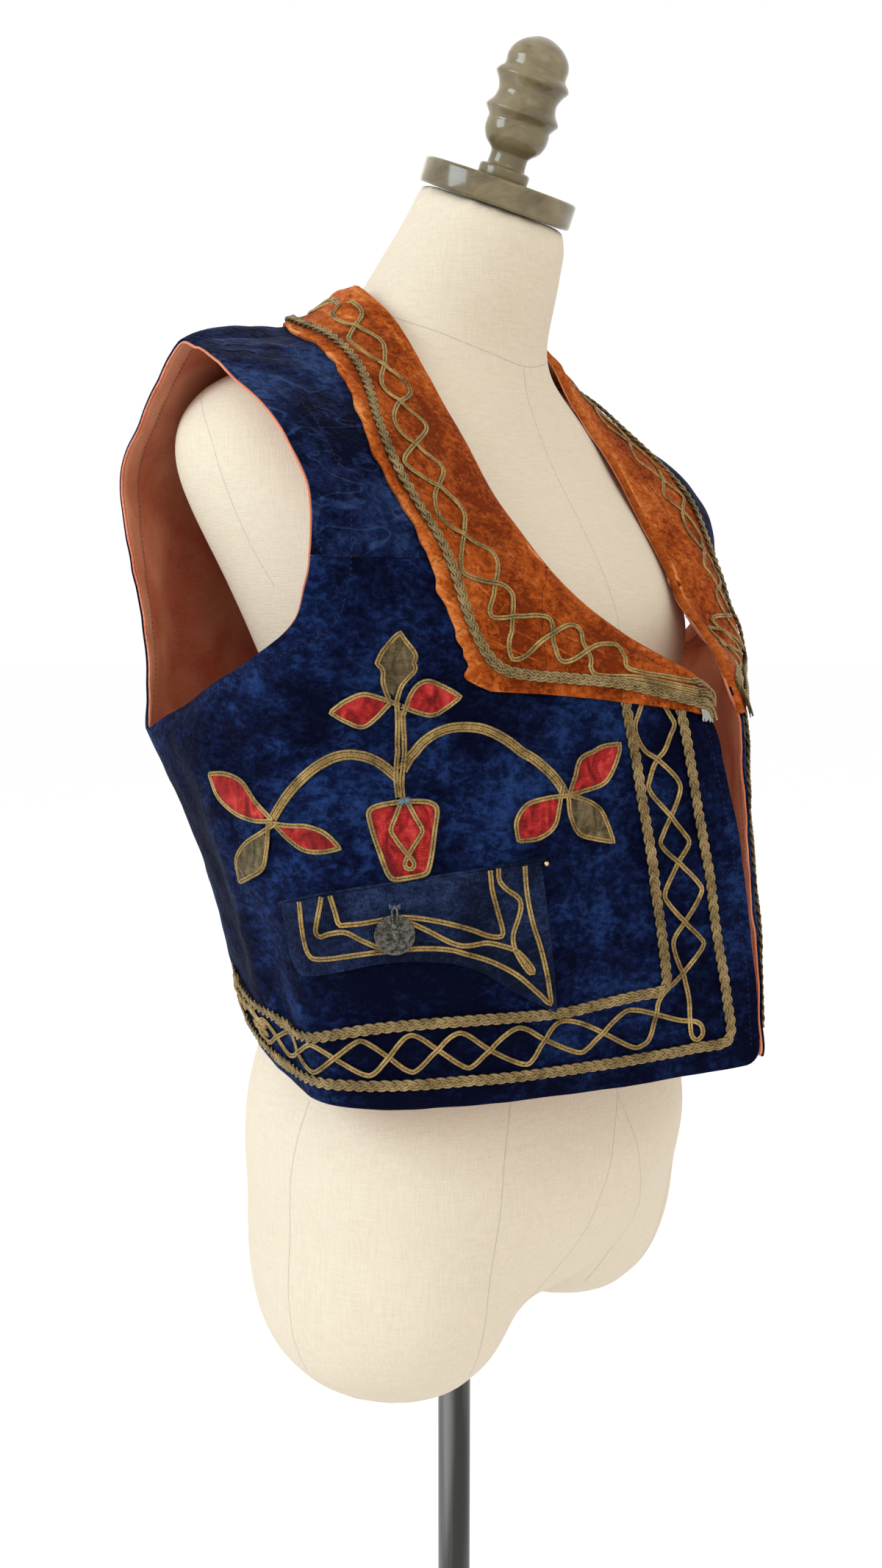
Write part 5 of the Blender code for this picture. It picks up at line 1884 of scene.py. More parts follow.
    def build(self, sides: Sequence[VestSide]) -> None:
        """Makes both plaits and the lattice right round the vest.

        Args:
            sides: Both sides of the vest.
        """
        right, left = sides
        for name, front, back, node in (
                ("outer_plait", self.outer, self.outer_back, "border_outer"),
                ("inner_plait", self.inner, self.inner_back, "border_inner")):
            stock = Stock()
            whole = (self.trail(right, front, back, 8)
                     + self.trail(left, front, back, 8).backwards())
            Plait().lay(stock, whole.even(STEP).eased(self.ease))
            stock.piece(name, BRAID, [node])
        stock = Stock()
        for side in sides:
            weave(stock, *(self.trail(side, front, back, 5)
                           for front, back in zip(self.cords, self.cords_back)))
        stock.piece("border_weave", SOUTACHE, ["border_lattice"])


class Leaf(NamedTuple):
    """A satin leaf: the places round it, which of them is its tip, and its finish."""

    name: str
    tip: int
    finish: Finish
    around: tuple[Place, ...]


LEAVES = (
    Leaf("top", 6, OLIVE_SATIN, (
        (20.4, 22.3), (20.4, 22.7), (20.83, 23.6), (20.86, 24.9), (20.7, 25.6), (19.7, 26.8), (18.65, 27.8),
        (18.45, 27.2), (18.75, 26.1), (18.84, 24.95), (19.2, 24.2), (19.55, 23.15), (20.1, 22.5),
        (20.05, 22.2))),
    Leaf("upper_front", 7, RED_SATIN, (
        (19.72, 21.8), (19.66, 22.12), (19.32, 22.44), (18.78, 22.97), (18.3, 23.26), (17.75, 23.2),
        (17.15, 22.88), (16.35, 22.52), (17.1, 22.15), (17.82, 21.89), (18.24, 21.83), (18.82, 21.92),
        (19.45, 22.07), (19.75, 22.15))),
    Leaf("upper_side", 6, RED_SATIN, (
        (19.85, 22.17), (20.56, 22.33), (21.18, 22.54), (21.82, 22.62), (22.38, 22.54), (22.98, 22.25),
        (23.67, 21.92), (23.13, 21.72), (22.43, 21.5), (21.88, 21.45), (21.42, 21.62), (20.93, 21.91),
        (20.41, 22.22))),
    Leaf("front_high", 7, RED_SATIN, (
        (10.82, 17.65), (10.59, 18.09), (10.09, 19.02), (9.55, 20.1), (9.09, 20.48), (8.16, 20.75),
        (7.26, 20.92), (6.88, 20.87), (7.12, 20.45), (7.6, 19.4), (8.14, 18.62), (8.84, 18.25),
        (9.69, 18.01), (10.35, 17.85), (11.1, 17.72))),
    Leaf("front_low", 6, RED_SATIN, (
        (11.03, 18.34), (11.33, 17.6), (11.8, 16.74), (12.24, 15.8), (12.72, 15.42), (13.64, 15.3),
        (14.45, 15.22), (14.6, 15.44), (14.34, 16.28), (13.84, 17.05), (13.2, 17.42), (12.42, 17.6),
        (11.49, 17.68), (11, 17.73))),
    Leaf("front_tip", 6, OLIVE_SATIN, (
        (10.86, 17.65), (10.9, 17.35), (11.02, 16.56), (10.97, 15.84), (10.6, 15.43), (9.7, 15.11),
        (8.55, 14.86), (8.72, 15.49), (8.83, 16.3), (9.17, 16.97), (9.86, 17.42), (10.4, 17.66),
        (10.95, 17.8))),
    Leaf("side_high", 7, RED_SATIN, (
        (28.47, 16.42), (28.7, 16.72), (29.27, 17.26), (29.75, 17.89), (30.15, 18.5), (30.9, 18.74),
        (31.8, 18.82), (32.54, 18.72), (32.6, 18.26), (32.4, 17.62), (32, 17.02), (31.21, 16.58),
        (30.22, 16.33), (29.24, 16.25), (28.4, 16.34))),
    Leaf("side_low", 6, RED_SATIN, (
        (28.4, 16.2), (27.98, 16.17), (27.06, 16.15), (26.05, 16.15), (25.6, 15.99), (25.21, 15.61),
        (24.74, 15.02), (25.35, 14.88), (26.15, 14.76), (26.8, 14.86), (27.37, 15.18), (27.92, 15.63),
        (28.35, 16.16))),
    Leaf("side_tip", 6, OLIVE_SATIN, (
        (28.45, 16.12), (29.36, 15.65), (30.67, 15.04), (31.75, 14.4), (32.25, 13.8), (32.58, 13.07),
        (32.78, 12.28), (31.6, 12.72), (30.42, 13.3), (29.72, 13.85), (29.42, 14.51), (29.12, 15.37),
        (28.75, 16.2))))


@dataclass(frozen=True)
class Motif:
    """A pot with a stem, two arches and nine leaves, worked on one front. Lifts are
    in metres, places in centimetres."""

    side: VestSide
    patch_lift: float = 0.0016
    patch: float = 0.0010
    puff: float = 0.0006
    cord_lift: float = 0.0003
    edge: float = 0.0003
    least: float = 0.011
    outline_lift: float = 0.0012
    outline_size: float = 0.95
    rim_lift: float = 0.0013
    diamond_lift: float = 0.0024
    diamond_size: float = 0.9
    stem_lift: float = 0.0009
    knots: tuple[Place, ...] = ((20.62, 17.66), (20.3, 17.74))
    knot_lift: float = 0.0030
    stem: tuple[tuple[Place, ...], ...] = (
        ((20, 22.3), (20, 21.9), (20.05, 21.4), (20.2, 20.69), (20.42, 19.85), (20.63, 18.9),
         (20.76, 17.9)),
        ((19.7, 22), (19.72, 21.6), (19.76, 20.97), (20.03, 19.88), (20.34, 18.78), (20.5, 17.85)))
    arches: tuple[tuple[str, tuple[Place, ...]], ...] = (
        ("arch_front", (
            (20.15, 19.5), (19.85, 19.95), (19.3, 20.6), (18.36, 21.1), (17.2, 21.38), (15.93, 21.43),
            (14.81, 21.3), (13.65, 20.92), (12.5, 20.25), (11.6, 19.25), (11.14, 18.4), (11.02, 17.9))),
        ("arch_side", (
            (20.36, 18.85), (21.16, 19.76), (21.89, 20.22), (22.82, 20.4), (23.72, 20.25), (24.65, 19.82),
            (25.59, 19.18), (26.62, 18.35), (27.52, 17.5), (28.42, 16.5))))
    pot: tuple[Place, ...] = ((22.66, 17.3), (18.84, 17.52), (20.0, 13.6), (22.3, 13.36))
    pot_rim: tuple[Place, ...] = (
        (20.5, 17.68), (19.47, 17.66), (18.95, 17.53), (18.78, 17.15), (19.2, 16.02), (19.62, 14.8),
        (19.97, 13.9), (20.15, 13.62), (20.55, 13.48), (21.46, 13.33), (22.02, 13.28), (22.28, 13.55),
        (22.46, 14.3), (22.64, 15.6), (22.68, 16.5), (22.64, 17), (22.34, 17.3), (21.67, 17.5),
        (20.6, 17.66))
    diamond: tuple[Place, ...] = (
        (20.68, 17.6), (21.2, 16.77), (21.62, 16.1), (21.5, 15.6), (21.15, 14.93), (20.84, 14.47),
        (20.74, 14.16), (20.92, 13.9), (21.18, 13.9), (21.28, 14.16), (21.08, 14.52), (20.6, 15.13),
        (20.06, 15.73), (19.88, 16.1), (20.05, 16.65), (20.3, 17.6))

    def satin(self, name: str, edges: Sequence[np.ndarray], finish: Finish,
              node: str) -> None:
        """A satin patch between two edges of places, bowed up in its middle.

        Args:
            name: The piece's name.
            edges: The places down one edge and down the other.
            finish: Its finish.
            node: The frame's node that it stands for.
        """
        part, down = np.linspace(0, 1, 9), np.arange(len(edges[0]))
        share = part[None, :, None]
        rows = edges[0][:, None] * (1 - share) + edges[1][:, None] * share
        ends = np.minimum(1, np.minimum(down, down[::-1]) / 3)
        bow = 1 - (2 * part - 1) ** 2
        trail = self.side.on_front(rows, self.patch_lift + self.puff * bow * ends[:, None])
        stock = Stock(grid_mesh(trail.points, rows * CM, trail.normals))
        piece = thicken(stock.piece(name, finish, [node]), self.patch, self.edge)
        long = max(float(np.linalg.norm(rows[-1, 4] - rows[0, 4])) * CM, self.least)
        wide = max(float(np.linalg.norm(edges[0] - edges[1], axis=1).max()) * CM, self.least)

    def build(self) -> None:
        """Makes the leaves, the pot, the stem and the arches."""
        word, on_front = self.side.hand.word, self.side.on_front
        cords = Stock()
        share = np.linspace(0, 1, 25)
        for leaf in LEAVES:
            around, tip = leaf.around, leaf.tip
            halves = eased(around[1: tip + 1]), eased(around[tip: -1][::-1])
            edges = [resample(half, np.linspace(0, 1, len(half)), share) for half in halves]
            self.satin(f"satin_{leaf.name}_{word}", edges, leaf.finish, f"leaf_{leaf.name}_{word}")
            outline = np.vstack([eased(around[: tip + 1]), eased(around[tip:])[1:]])
            soutache(cords, on_front(outline, self.outline_lift), self.outline_size)
        corners, share = np.array(self.pot), np.linspace(0, 1, 9)[:, None]
        edges = [corners[top] * (1 - share) + corners[foot] * share
                 for top, foot in ((0, 3), (1, 2))]
        self.satin(f"satin_pot_{word}", edges, RED_SATIN, f"pot_{word}")
        soutache(cords, on_front(curve(self.pot_rim, 5), self.rim_lift))
        soutache(cords, on_front(curve(self.diamond, 6), self.diamond_lift), self.diamond_size)
        cords.piece(f"leaf_outlines_{word}", SOUTACHE)
        stem = Stock()
        for path in self.stem:
            soutache(stem, on_front(curve(path), self.stem_lift))
        stem.piece(f"stem_cords_{word}", SOUTACHE, [f"stem_{word}"])
        for name, path in self.arches:
            stock = Stock()
            side_by_side(stock, on_front(curve(path), self.cord_lift), 2)
            stock.piece(f"{name}_cords_{word}", SOUTACHE, [f"{name}_{word}"])
        knot = Stock()
        for place in self.knots:
            self._knot(knot, on_front(np.array([place] * 2), self.knot_lift))
        knot.piece(f"blue_knot_{word}", BLUE_THREAD)

    @staticmethod
    def _knot(stock: Stock, spot: Trail) -> None:
        """A little knot of blue thread at the pot's top.

        Args:
            stock: Takes it in.
            spot: Where it sits.
        """
        start, out = Vector(spot.points[0]), Vector(spot.normals[0])
        across = out.cross(Vector((0, 0, 1))).normalized()
        for k in range(14):
            turn, long = k * 2.4, 0.0012 + 0.0013 * (k * 0.37 % 1)
            sway = (across * math.cos(turn) + Vector((0, 0, 1)) * math.sin(turn)) * long
            loose_end(stock, start - sway * 0.5, [sway + out * 0.0011, sway * 2.0], 0.0003)


@dataclass(frozen=True)
class Coin:
    """The old coin: a rim of beads, a rosette of scrolls and a wire shank."""

    radius: float = 0.0116
    thickness: float = 0.0017
    bevel: float = 0.0004
    beads: int = 34
    bead: float = 0.00075
    bead_inset: float = 0.0011
    scrolls: int = 8
    scroll: float = 0.0021
    scroll_reach: float = 0.0058
    circles: tuple[Place, ...] = ((0.0091, 0.00035), (0.0030, 0.0004))
    bosses: tuple[tuple[float, float, float], ...] = ((0.0014, 0.0, 0.8), (0.0021, 0.0052, 0.6))
    shank: tuple[tuple[float, float, float], ...] = (
        (-0.001, -0.0042, 1.1), (-0.0013, -0.0005, 2.3), (-0.0014, 0.0026, 1.9), (0, 0.0044, 1.4),
        (0.0014, 0.0026, 1.9), (0.0013, -0.0005, 2.3), (0.001, -0.0042, 1.1))

    def strike(self, stock: Stock) -> None:
        """Makes the coin round the origin, its face up.

        Args:
            stock: Takes it in.
        """
        bm, top = stock.bm, self.thickness
        bmesh.ops.create_cone(bm, cap_ends=True, segments=56, radius1=self.radius,
                              radius2=self.radius, depth=top,
                              matrix=Matrix.Translation((0, 0, top / 2)))
        rims = [edge for edge in bm.edges
                if abs(edge.verts[0].co.z - edge.verts[1].co.z) < 1e-7]
        bmesh.ops.bevel(bm, geom=rims, offset=self.bevel, segments=2, profile=0.5,
                        affect="EDGES", material=-1)
        for turn in np.arange(self.beads) * (2 * math.pi / self.beads):
            reach = self.radius - self.bead_inset
            spot = Vector((math.cos(turn) * reach, math.sin(turn) * reach, top))
            bmesh.ops.create_icosphere(bm, subdivisions=2, radius=self.bead,
                                       matrix=Matrix.Translation(spot))
        angle = np.linspace(0, 2.6 * math.pi, 30)
        size = self.scroll * (1 - 0.26 * angle / math.pi / 2)
        for turn in np.arange(self.scrolls) * (2 * math.pi / self.scrolls):
            self._wire(stock, math.cos(turn) * self.scroll_reach + size * np.cos(angle + turn),
                       math.sin(turn) * self.scroll_reach + size * np.sin(angle + turn),
                       np.full(len(angle), top), (0.00042, 0.0005, 6))
        around = np.linspace(0, 2 * math.pi, 49)
        for reach, wire in self.circles:
            self._wire(stock, reach * np.cos(around), reach * np.sin(around),
                       np.full(len(around), top), (wire, wire, 6))
        for radius, up, height in self.bosses:
            bmesh.ops.create_uvsphere(bm, u_segments=16, v_segments=8, radius=radius,
                                      matrix=Matrix.Translation((0, up, top * height)))
        bend = [(x, self.radius + y, top * z) for x, y, z in self.shank]
        self._wire(stock, *spline(bend, np.linspace(0, len(bend) - 1, 37)).T,
                   (0.00078, 0.00075, 8))

    @staticmethod
    def _wire(stock: Stock, x: np.ndarray, y: np.ndarray, z: np.ndarray,
              profile: tuple[float, float, int]) -> None:
        """Lays a wire through points over the face."""
        up = np.repeat([(0.0, 0.0, 1.0)], len(x), 0)
        stock.tube(Trail(np.stack([x, y, z], 1), up), ring(*profile))


@dataclass(frozen=True)
class Pocket:
    """The scalloped flap with its cords, the pocket's seam and the coin button that
    hangs from a shank. Thicknesses are in metres, places in centimetres."""

    side: VestSide
    lift: float = 0.0009
    thickness: float = 0.0014
    stations: tuple[tuple[float, float, float], ...] = (
        (28.95, 11.6, 9.6), (28.8, 11.62, 8.4), (28.4, 11.7, 7.65), (27.8, 11.85, 7.48), (26.3, 12.25, 7.8),
        (24.4, 12.6, 8.3), (22.2, 12.95, 8.6), (20.2, 13.25, 8.5), (18.9, 13.4, 8.3), (17.5, 13.55, 7.7),
        (16.1, 13.65, 6.7), (14.7, 13.85, 5.85), (13.8, 13.95, 5.35), (13.35, 14, 5.15))
    cords: tuple[tuple[Place, ...], ...] = (
        ((27.6, 11.85), (27.6, 10.5), (27.5, 9.1), (27.2, 8.65), (26.6, 8.65), (25, 8.95), (23.2, 9.2),
         (21.5, 9.35), (19.5, 9.25), (18.4, 8.9), (16.9, 8.3), (15.6, 7.5), (14.5, 6.45), (13.85, 5.75),
         (13.7, 5.85), (13.75, 6.6), (13.85, 7.6), (14.1, 9.2), (14.4, 10.8), (14.5, 12.2), (14.4, 13.8)),
        ((26.2, 12.25), (26.6, 10.9), (26.75, 10.2), (26.5, 9.95), (26, 10.15), (25.1, 10.25), (24.2, 9.8),
         (23.2, 9.4), (22.4, 9.3)),
        ((22.8, 11), (21.6, 10.85), (20.7, 10.45), (19.6, 9.8), (18.8, 9.45), (18.1, 9.4), (17.2, 9.45),
         (16.3, 9.2), (15.5, 8.85), (14.9, 8.2), (14.6, 7.65), (14.85, 7.6), (15.3, 8.3), (15.6, 9),
         (15.6, 9.8), (15.2, 10.7), (14.95, 11.4), (15.05, 11.95), (15.7, 12.5), (16.05, 13.05),
         (16, 13.75)),
        ((25.7, 12.35), (25.55, 11.4), (25.4, 10.7), (24.9, 10.7), (24.1, 10.8), (23.3, 10.95),
         (21.8, 11.15), (20, 10.9), (18.3, 10.35), (17.1, 9.85), (16.4, 9.75), (16.2, 10), (16.35, 11.1),
         (16.55, 12.4), (16.5, 13.65)))
    pocket_line: tuple[Place, ...] = (
        (29.4, 11.45), (28.6, 11.68), (26.2, 12.35), (22.5, 12.98), (19.7, 13.35), (16.8, 13.68),
        (14.4, 13.95), (13, 14.08))
    tip: Place = (13.5, 5.3)
    edge: float = 0.0005
    bead: float = 0.0016
    bead_place: Place = (13.05, 13.85)
    button_place: Place = (22.4, 10.2)
    button_lift: float = 0.0010
    shank_turns: int = 18

    def rise(self, part: np.ndarray, places: np.ndarray) -> np.ndarray:
        """How far the flap's outside stands over the front, in metres.

        Args:
            part: How far down the flap each place is, from 0 to 1.
            places: Places on the front.

        Returns:
            The heights.
        """
        far = np.hypot(places[..., 0] - self.tip[0], places[..., 1] - self.tip[1])
        return self.lift + self.thickness + 0.0009 * part ** 2 + 0.0014 * bell(far, 1.6)

    def build(self) -> None:
        """Makes the flap, its cords, the seam, the bead and the button."""
        word = self.side.hand.word
        line = curve(self.stations, 6)
        part = np.linspace(0, 1, 22)
        places = np.stack([np.broadcast_to(line[:, :1], (len(line), len(part))),
                           line[:, 1:2] + (line[:, 2:] - line[:, 1:2]) * part[None]], 2)
        ripple = 0.00025 * np.sin(line[:, :1] * 2.1) * part[None] ** 2
        trail = self.side.on_front(places, self.rise(part[None], places) + ripple)
        stock = Stock(grid_mesh(trail.points, places * CM, trail.normals))
        flap = stock.piece(f"velvet_flap_{word}", FLAP_VELVET, [f"flap_{word}"])
        thicken(flap, self.thickness, self.edge)
        self._cords(word)
        self._button(word)

    def over_flap(self, places: np.ndarray) -> Trail:
        """A trail over the flap.

        Args:
            places: Places on the front.

        Returns:
            The trail.
        """
        line = curve(self.stations, 6)[::-1]
        top = np.interp(places[:, 0], line[:, 0], line[:, 1])
        low = np.interp(places[:, 0], line[:, 0], line[:, 2])
        part = np.clip((top - places[:, 1]) / (top - low), 0, 1)
        return self.side.on_front(places, self.rise(part, places) + 0.0001)

    def _cords(self, word: str) -> None:
        """The flap's cords, the pocket's seam and its bead.

        Args:
            word: The side's word in the names of pieces.
        """
        stock = Stock()
        for path in self.cords:
            soutache(stock, self.over_flap(curve(path, 6)))
        stock.piece(f"flap_cords_{word}", SOUTACHE)
        stock = Stock()
        welt = self.side.on_front(curve(self.pocket_line, 8), 0.0002)
        stock.tube(welt.even(STEP * 2), ring(0.0012, 0.0010, 8))
        stock.piece(f"pocket_welt_{word}", FLAP_VELVET)
        stock = Stock()
        stitches(stock, welt.moved(0.0017, 0.0002), POCKET_STITCH)
        stock.piece(f"pocket_stitches_{word}", DARK_THREAD)
        stock = Stock()
        spot = self.side.on_front([self.bead_place], self.bead).points[0]
        bmesh.ops.create_uvsphere(stock.bm, u_segments=14, v_segments=10, radius=self.bead,
                                  matrix=Matrix.Translation(spot))
        stock.piece(f"corner_bead_{word}", GOLD_BEAD)

    def _button(self, word: str) -> None:
        """The coin on the flap, and the thread that holds its shank.

        Args:
            word: The side's word in the names of pieces.
        """
        base = self.over_flap(np.array([self.button_place] * 2))
        out = Vector(base.normals[0])
        across = Vector((0, 0, 1)).cross(out).normalized()
        up = out.cross(across)
        middle = Vector(base.points[0]) + out * self.button_lift
        place = Matrix.Translation(middle) @ Matrix((across, up, out)).transposed().to_4x4()
        coin, stock = Coin(), Stock()
        coin.strike(stock)
        bmesh.ops.transform(stock.bm, matrix=place, verts=stock.bm.verts[:])
        stock.piece(f"coin_{word}", SILVER, [f"coin_button_{word}"], 40)
        thread = Stock()
        top = middle + up * (coin.radius + 0.0046) + out * 0.0010
        for k in range(self.shank_turns):
            sway = across * (0.0044 * math.sin(2.1 * k)) + up * (0.0014 * math.cos(1.7 * k))
            loose_end(thread, top - sway * 0.7, [out * 0.0012, sway + out * 0.0006], 0.00045)
        thread.piece(f"shank_thread_{word}", SHANK_THREAD)


# ---------------------------------------------------------------- the stand


@dataclass(frozen=True)
class DressForm:
    """The linen-covered form with its seams, cap and turned knob."""

    voxel: float = 0.0050
    rounds: int = 30
    last_rounds: int = 3
    cap_margin: float = 0.024
    smooth_below: float = 1.3
    foot_margin: float = 0.009
    wrap_radius: float = 0.14
    neck_tilt: float = math.radians(23.2)
    cap_middle: tuple[float, float] = (3.53, 78.62)
    cap_radius: float = 0.0521
    cap_thickness: float = 0.0164
    cap_bevel: float = 0.0022
    knob: tuple[Place, ...] = (
        (0, 1.62), (0.12, 1.7), (0.6, 1.7), (0.74, 1.55), (0.82, 1.3), (1.5, 1.25), (1.75, 1.4),
        (2.15, 1.85), (2.7, 2.1), (3.2, 2.13), (3.5, 2.1), (3.8, 2.3), (4.02, 2.46), (4.2, 2.42),
        (4.6, 2.12), (5, 2), (5.3, 2.02), (5.7, 2.2), (6, 2.42), (6.15, 2.46), (6.35, 2.35), (6.6, 2.1),
        (6.85, 2.04), (7.3, 2.05), (7.8, 1.85), (8.3, 1.35), (8.62, 0.7), (8.72, 0.3), (8.75, 0))
    seams: tuple[tuple[tuple[float, float, float], ...], ...] = (
        ((0, -5.8, 67.3), (-3.2, -5, 67.9), (-5.7, -3.4, 68.8), (-7.5, -1, 69.9), (-6.9, 3, 71.2),
         (-4.3, 6.2, 72.2), (0, 7.4, 72.6)),
        ((-17, 6.6, 65.1), (-18.8, 4.2, 62), (-18, 2.9, 57.5), (-17.2, 2.1, 55), (-16.6, 0.9, 52.8)),
        ((-9.6, -12.1, 21), (-10.9, -12.6, 16.9), (-11.1, -11.9, 11.1), (-10.4, -9.5, 2.5)),
        ((-17, -1.9, 20.9), (-17.8, -0.9, 16.1), (-17.5, -0.4, 10), (-16.6, -0.9, 2.5)),
        ((0, -13.9, 19.4), (-2.4, -13, 13.5), (-5.1, -11.3, 6.9), (-5.4, -8, 2)),
        ((-9.6, 9.2, 21), (-10.4, 9.6, 15), (-10, 8.6, 8), (-9.6, 6.5, 2.5)))
    middle_seams: tuple[tuple[tuple[float, float, float], ...], ...] = (
        ((0, -5.8, 67.2), (0, -8.5, 62), (0, -12, 55), (0, -13.4, 49), (0, -12, 42), (0, -10.8, 35),
         (0, -12.6, 26), (0, -13.9, 19.4)),
        ((0, 10.8, 23), (0, 11, 17), (0, 10.4, 9)))

    def cap_place(self) -> Matrix:
        """The cap's middle, with Z out along the neck."""
        forward, height = self.cap_middle
        return (Matrix.Translation((0, -forward * CM, FORM_BOTTOM + height * CM))
                @ Matrix.Rotation(self.neck_tilt, 4, "X"))

    def build(self, frame: dict) -> None:
        """Makes the cover with its seams, the cap and the knob.
        """
        mesh = self._smooth_copy(frame["nodes"]["form_body"])
        self._wrap(mesh)
        dressed(mesh, "form_cover", LINEN, ["form_body"], 80)
        tree = bmesh.new()
        tree.from_mesh(mesh)
        surface = BVHTree.FromBMesh(tree)
        tree.free()
        stock = Stock()
        neck = self.seams[0]
        round_neck = [*self._mirrored(neck)[::-1], *neck[1:]]
        for seam in (round_neck, *self.seams[1:],
                     *(self._mirrored(seam) for seam in self.seams[1:]),
                     *self.middle_seams):
            trail = self._on_form(surface, seam).even(0.0030)
            stock.tube(trail.moved(0.0, -0.0001), ring(0.00045, 0.00028, 6))
        stock.piece("form_seams", PALE_THREAD)
        self._cap()
        self._knob()

    def _smooth_copy(self, node: bpy.types.Object) -> bpy.types.Mesh:
        """A finely and evenly meshed copy of the form with its facets rounded.

        Args:
            node: The frame's form.

        Returns:
            The mesh.
        """
        bm = bmesh.new()
        bm.from_mesh(node.data)
        bmesh.ops.remove_doubles(bm, verts=bm.verts[:], dist=1e-5)
        mesh = bpy.data.meshes.new("form_copy")
        bm.to_mesh(mesh)
        bm.free()
        worker = bpy.data.objects.new("form_copy", mesh)
        bpy.context.scene.collection.objects.link(worker)
        remesh = worker.modifiers.new("Remesh", "REMESH")
        remesh.mode = "VOXEL"
        remesh.voxel_size = self.voxel
        seen = worker.evaluated_get(bpy.context.evaluated_depsgraph_get())
        bm = bmesh.new()
        bm.from_mesh(seen.to_mesh())
        bpy.data.objects.remove(worker)
        inverse = self.cap_place().inverted()
        free = [v for v in bm.verts if v.co.z > FORM_BOTTOM + self.foot_margin
                and ((inverse @ v.co).z < -self.cap_margin or v.co.z < self.smooth_below)]
        for verts, rounds in ((free, self.rounds), (bm.verts[:], self.last_rounds)):
            for _ in range(rounds):
                bmesh.ops.smooth_vert(bm, verts=verts, factor=0.5, use_axis_x=True,
                                      use_axis_y=True, use_axis_z=True)
        made = bpy.data.meshes.new("form")
        bm.to_mesh(made)
        bm.free()
        return made

    def _wrap(self, mesh: bpy.types.Mesh) -> None:
        """Gives the form a UV map round its axis, in metres.

        Args:
            mesh: The form.
        """
        flat = np.empty(len(mesh.vertices) * 3)
        mesh.vertices.foreach_get("co", flat)
        spots = flat.reshape(-1, 3)
        corners = np.empty(len(mesh.loops), int)
        mesh.loops.foreach_get("vertex_index", corners)
        starts = np.empty(len(mesh.polygons), int)
        mesh.polygons.foreach_get("loop_start", starts)
        face = np.searchsorted(starts, np.arange(len(corners)), side="right") - 1
        angle = np.arctan2(spots[:, 0], -spots[:, 1])[corners]
        first = angle[starts][face]
        angle = first + (angle - first + math.pi) % (2 * math.pi) - math.pi
        layer = mesh.uv_layers.new(name="cut")
        places = np.stack([angle * self.wrap_radius, spots[corners, 2]], 1)
        layer.data.foreach_set("uv", places.ravel())

    @staticmethod
    def _mirrored(seam: Sequence[tuple[float, float, float]]) -> list:
        """The seam on the other side of the form."""
        return [(-x, y, z) for x, y, z in seam]

    @staticmethod
    def _on_form(surface: BVHTree, seam: Sequence[tuple[float, float, float]]) -> Trail:
        """A seam brought down on to the form.

        Args:
            surface: The form.
            seam: The seam's points, in centimetres.

        Returns:
            The seam as a trail.
        """
        line = spline(seam, np.linspace(0, len(seam) - 1, 14 * len(seam)))
        found = [surface.find_nearest(Vector((x, y, z)) * CM + Vector((0, 0, FORM_BOTTOM)))
                 for x, y, z in line]
        return Trail(np.array([hit[0] for hit in found]), np.array([hit[1] for hit in found]))

    def _cap(self) -> None:
        """The lacquered disc on the neck."""
        stock = Stock()
        round_block(stock.bm, self.cap_radius, self.cap_thickness, self.cap_bevel, 128,
                    self.cap_place())
        stock.piece("lacquered_cap", WOOD, ["neck_cap"], 40)

    def _knob(self) -> None:
        """The turned knob."""
        stock = Stock()
        start = self.cap_thickness / 2 + 0.0003
        profile = curve(self.knob, 4)
        verts = [stock.bm.verts.new((0, 0, start))]
        verts += [stock.bm.verts.new((max(radius, 0) * CM, 0, start + height * CM))
                  for height, radius in profile]
        edges = [stock.bm.edges.new(pair) for pair in zip(verts, verts[1:])]
        bmesh.ops.spin(stock.bm, geom=verts + edges, cent=(0, 0, 0), axis=(0, 0, 1),
                       dvec=(0, 0, 0), angle=2 * math.pi, steps=72, use_merge=True,
                       use_duplicate=False)
        bmesh.ops.remove_doubles(stock.bm, verts=stock.bm.verts[:], dist=1e-6)
        bmesh.ops.recalc_face_normals(stock.bm, faces=stock.bm.faces[:])
        bmesh.ops.transform(stock.bm, matrix=self.cap_place(), verts=stock.bm.verts[:])
        stock.piece("turned_knob", KNOB_WOOD, ["finial"], 60)


def round_block(bm: bmesh.types.BMesh, radius: float, height: float, bevel: float,
                sides: int, place: Matrix) -> None:
    """Adds a disc or rod with rounded rims.

    Args:
        bm: Takes it in.
        radius: Its radius, in metres.
        height: Its height.
        bevel: The size of the rounding, or 0 for none.
        sides: Faces round it.
        place: Where its middle goes, with its axis as Z.
    """
    made = bmesh.ops.create_cone(bm, cap_ends=True, segments=sides, radius1=radius,
                                 radius2=radius, depth=height)
    verts = made["verts"]
    rims = [edge for edge in bm.edges if edge.verts[0] in verts
            and abs(edge.verts[0].co.z - edge.verts[1].co.z) < 1e-6]
    if bevel:
        bmesh.ops.bevel(bm, geom=rims, offset=bevel, segments=4, profile=0.5,
                        affect="EDGES", material=-1)
    bmesh.ops.transform(bm, matrix=place, verts=bm.verts[:])


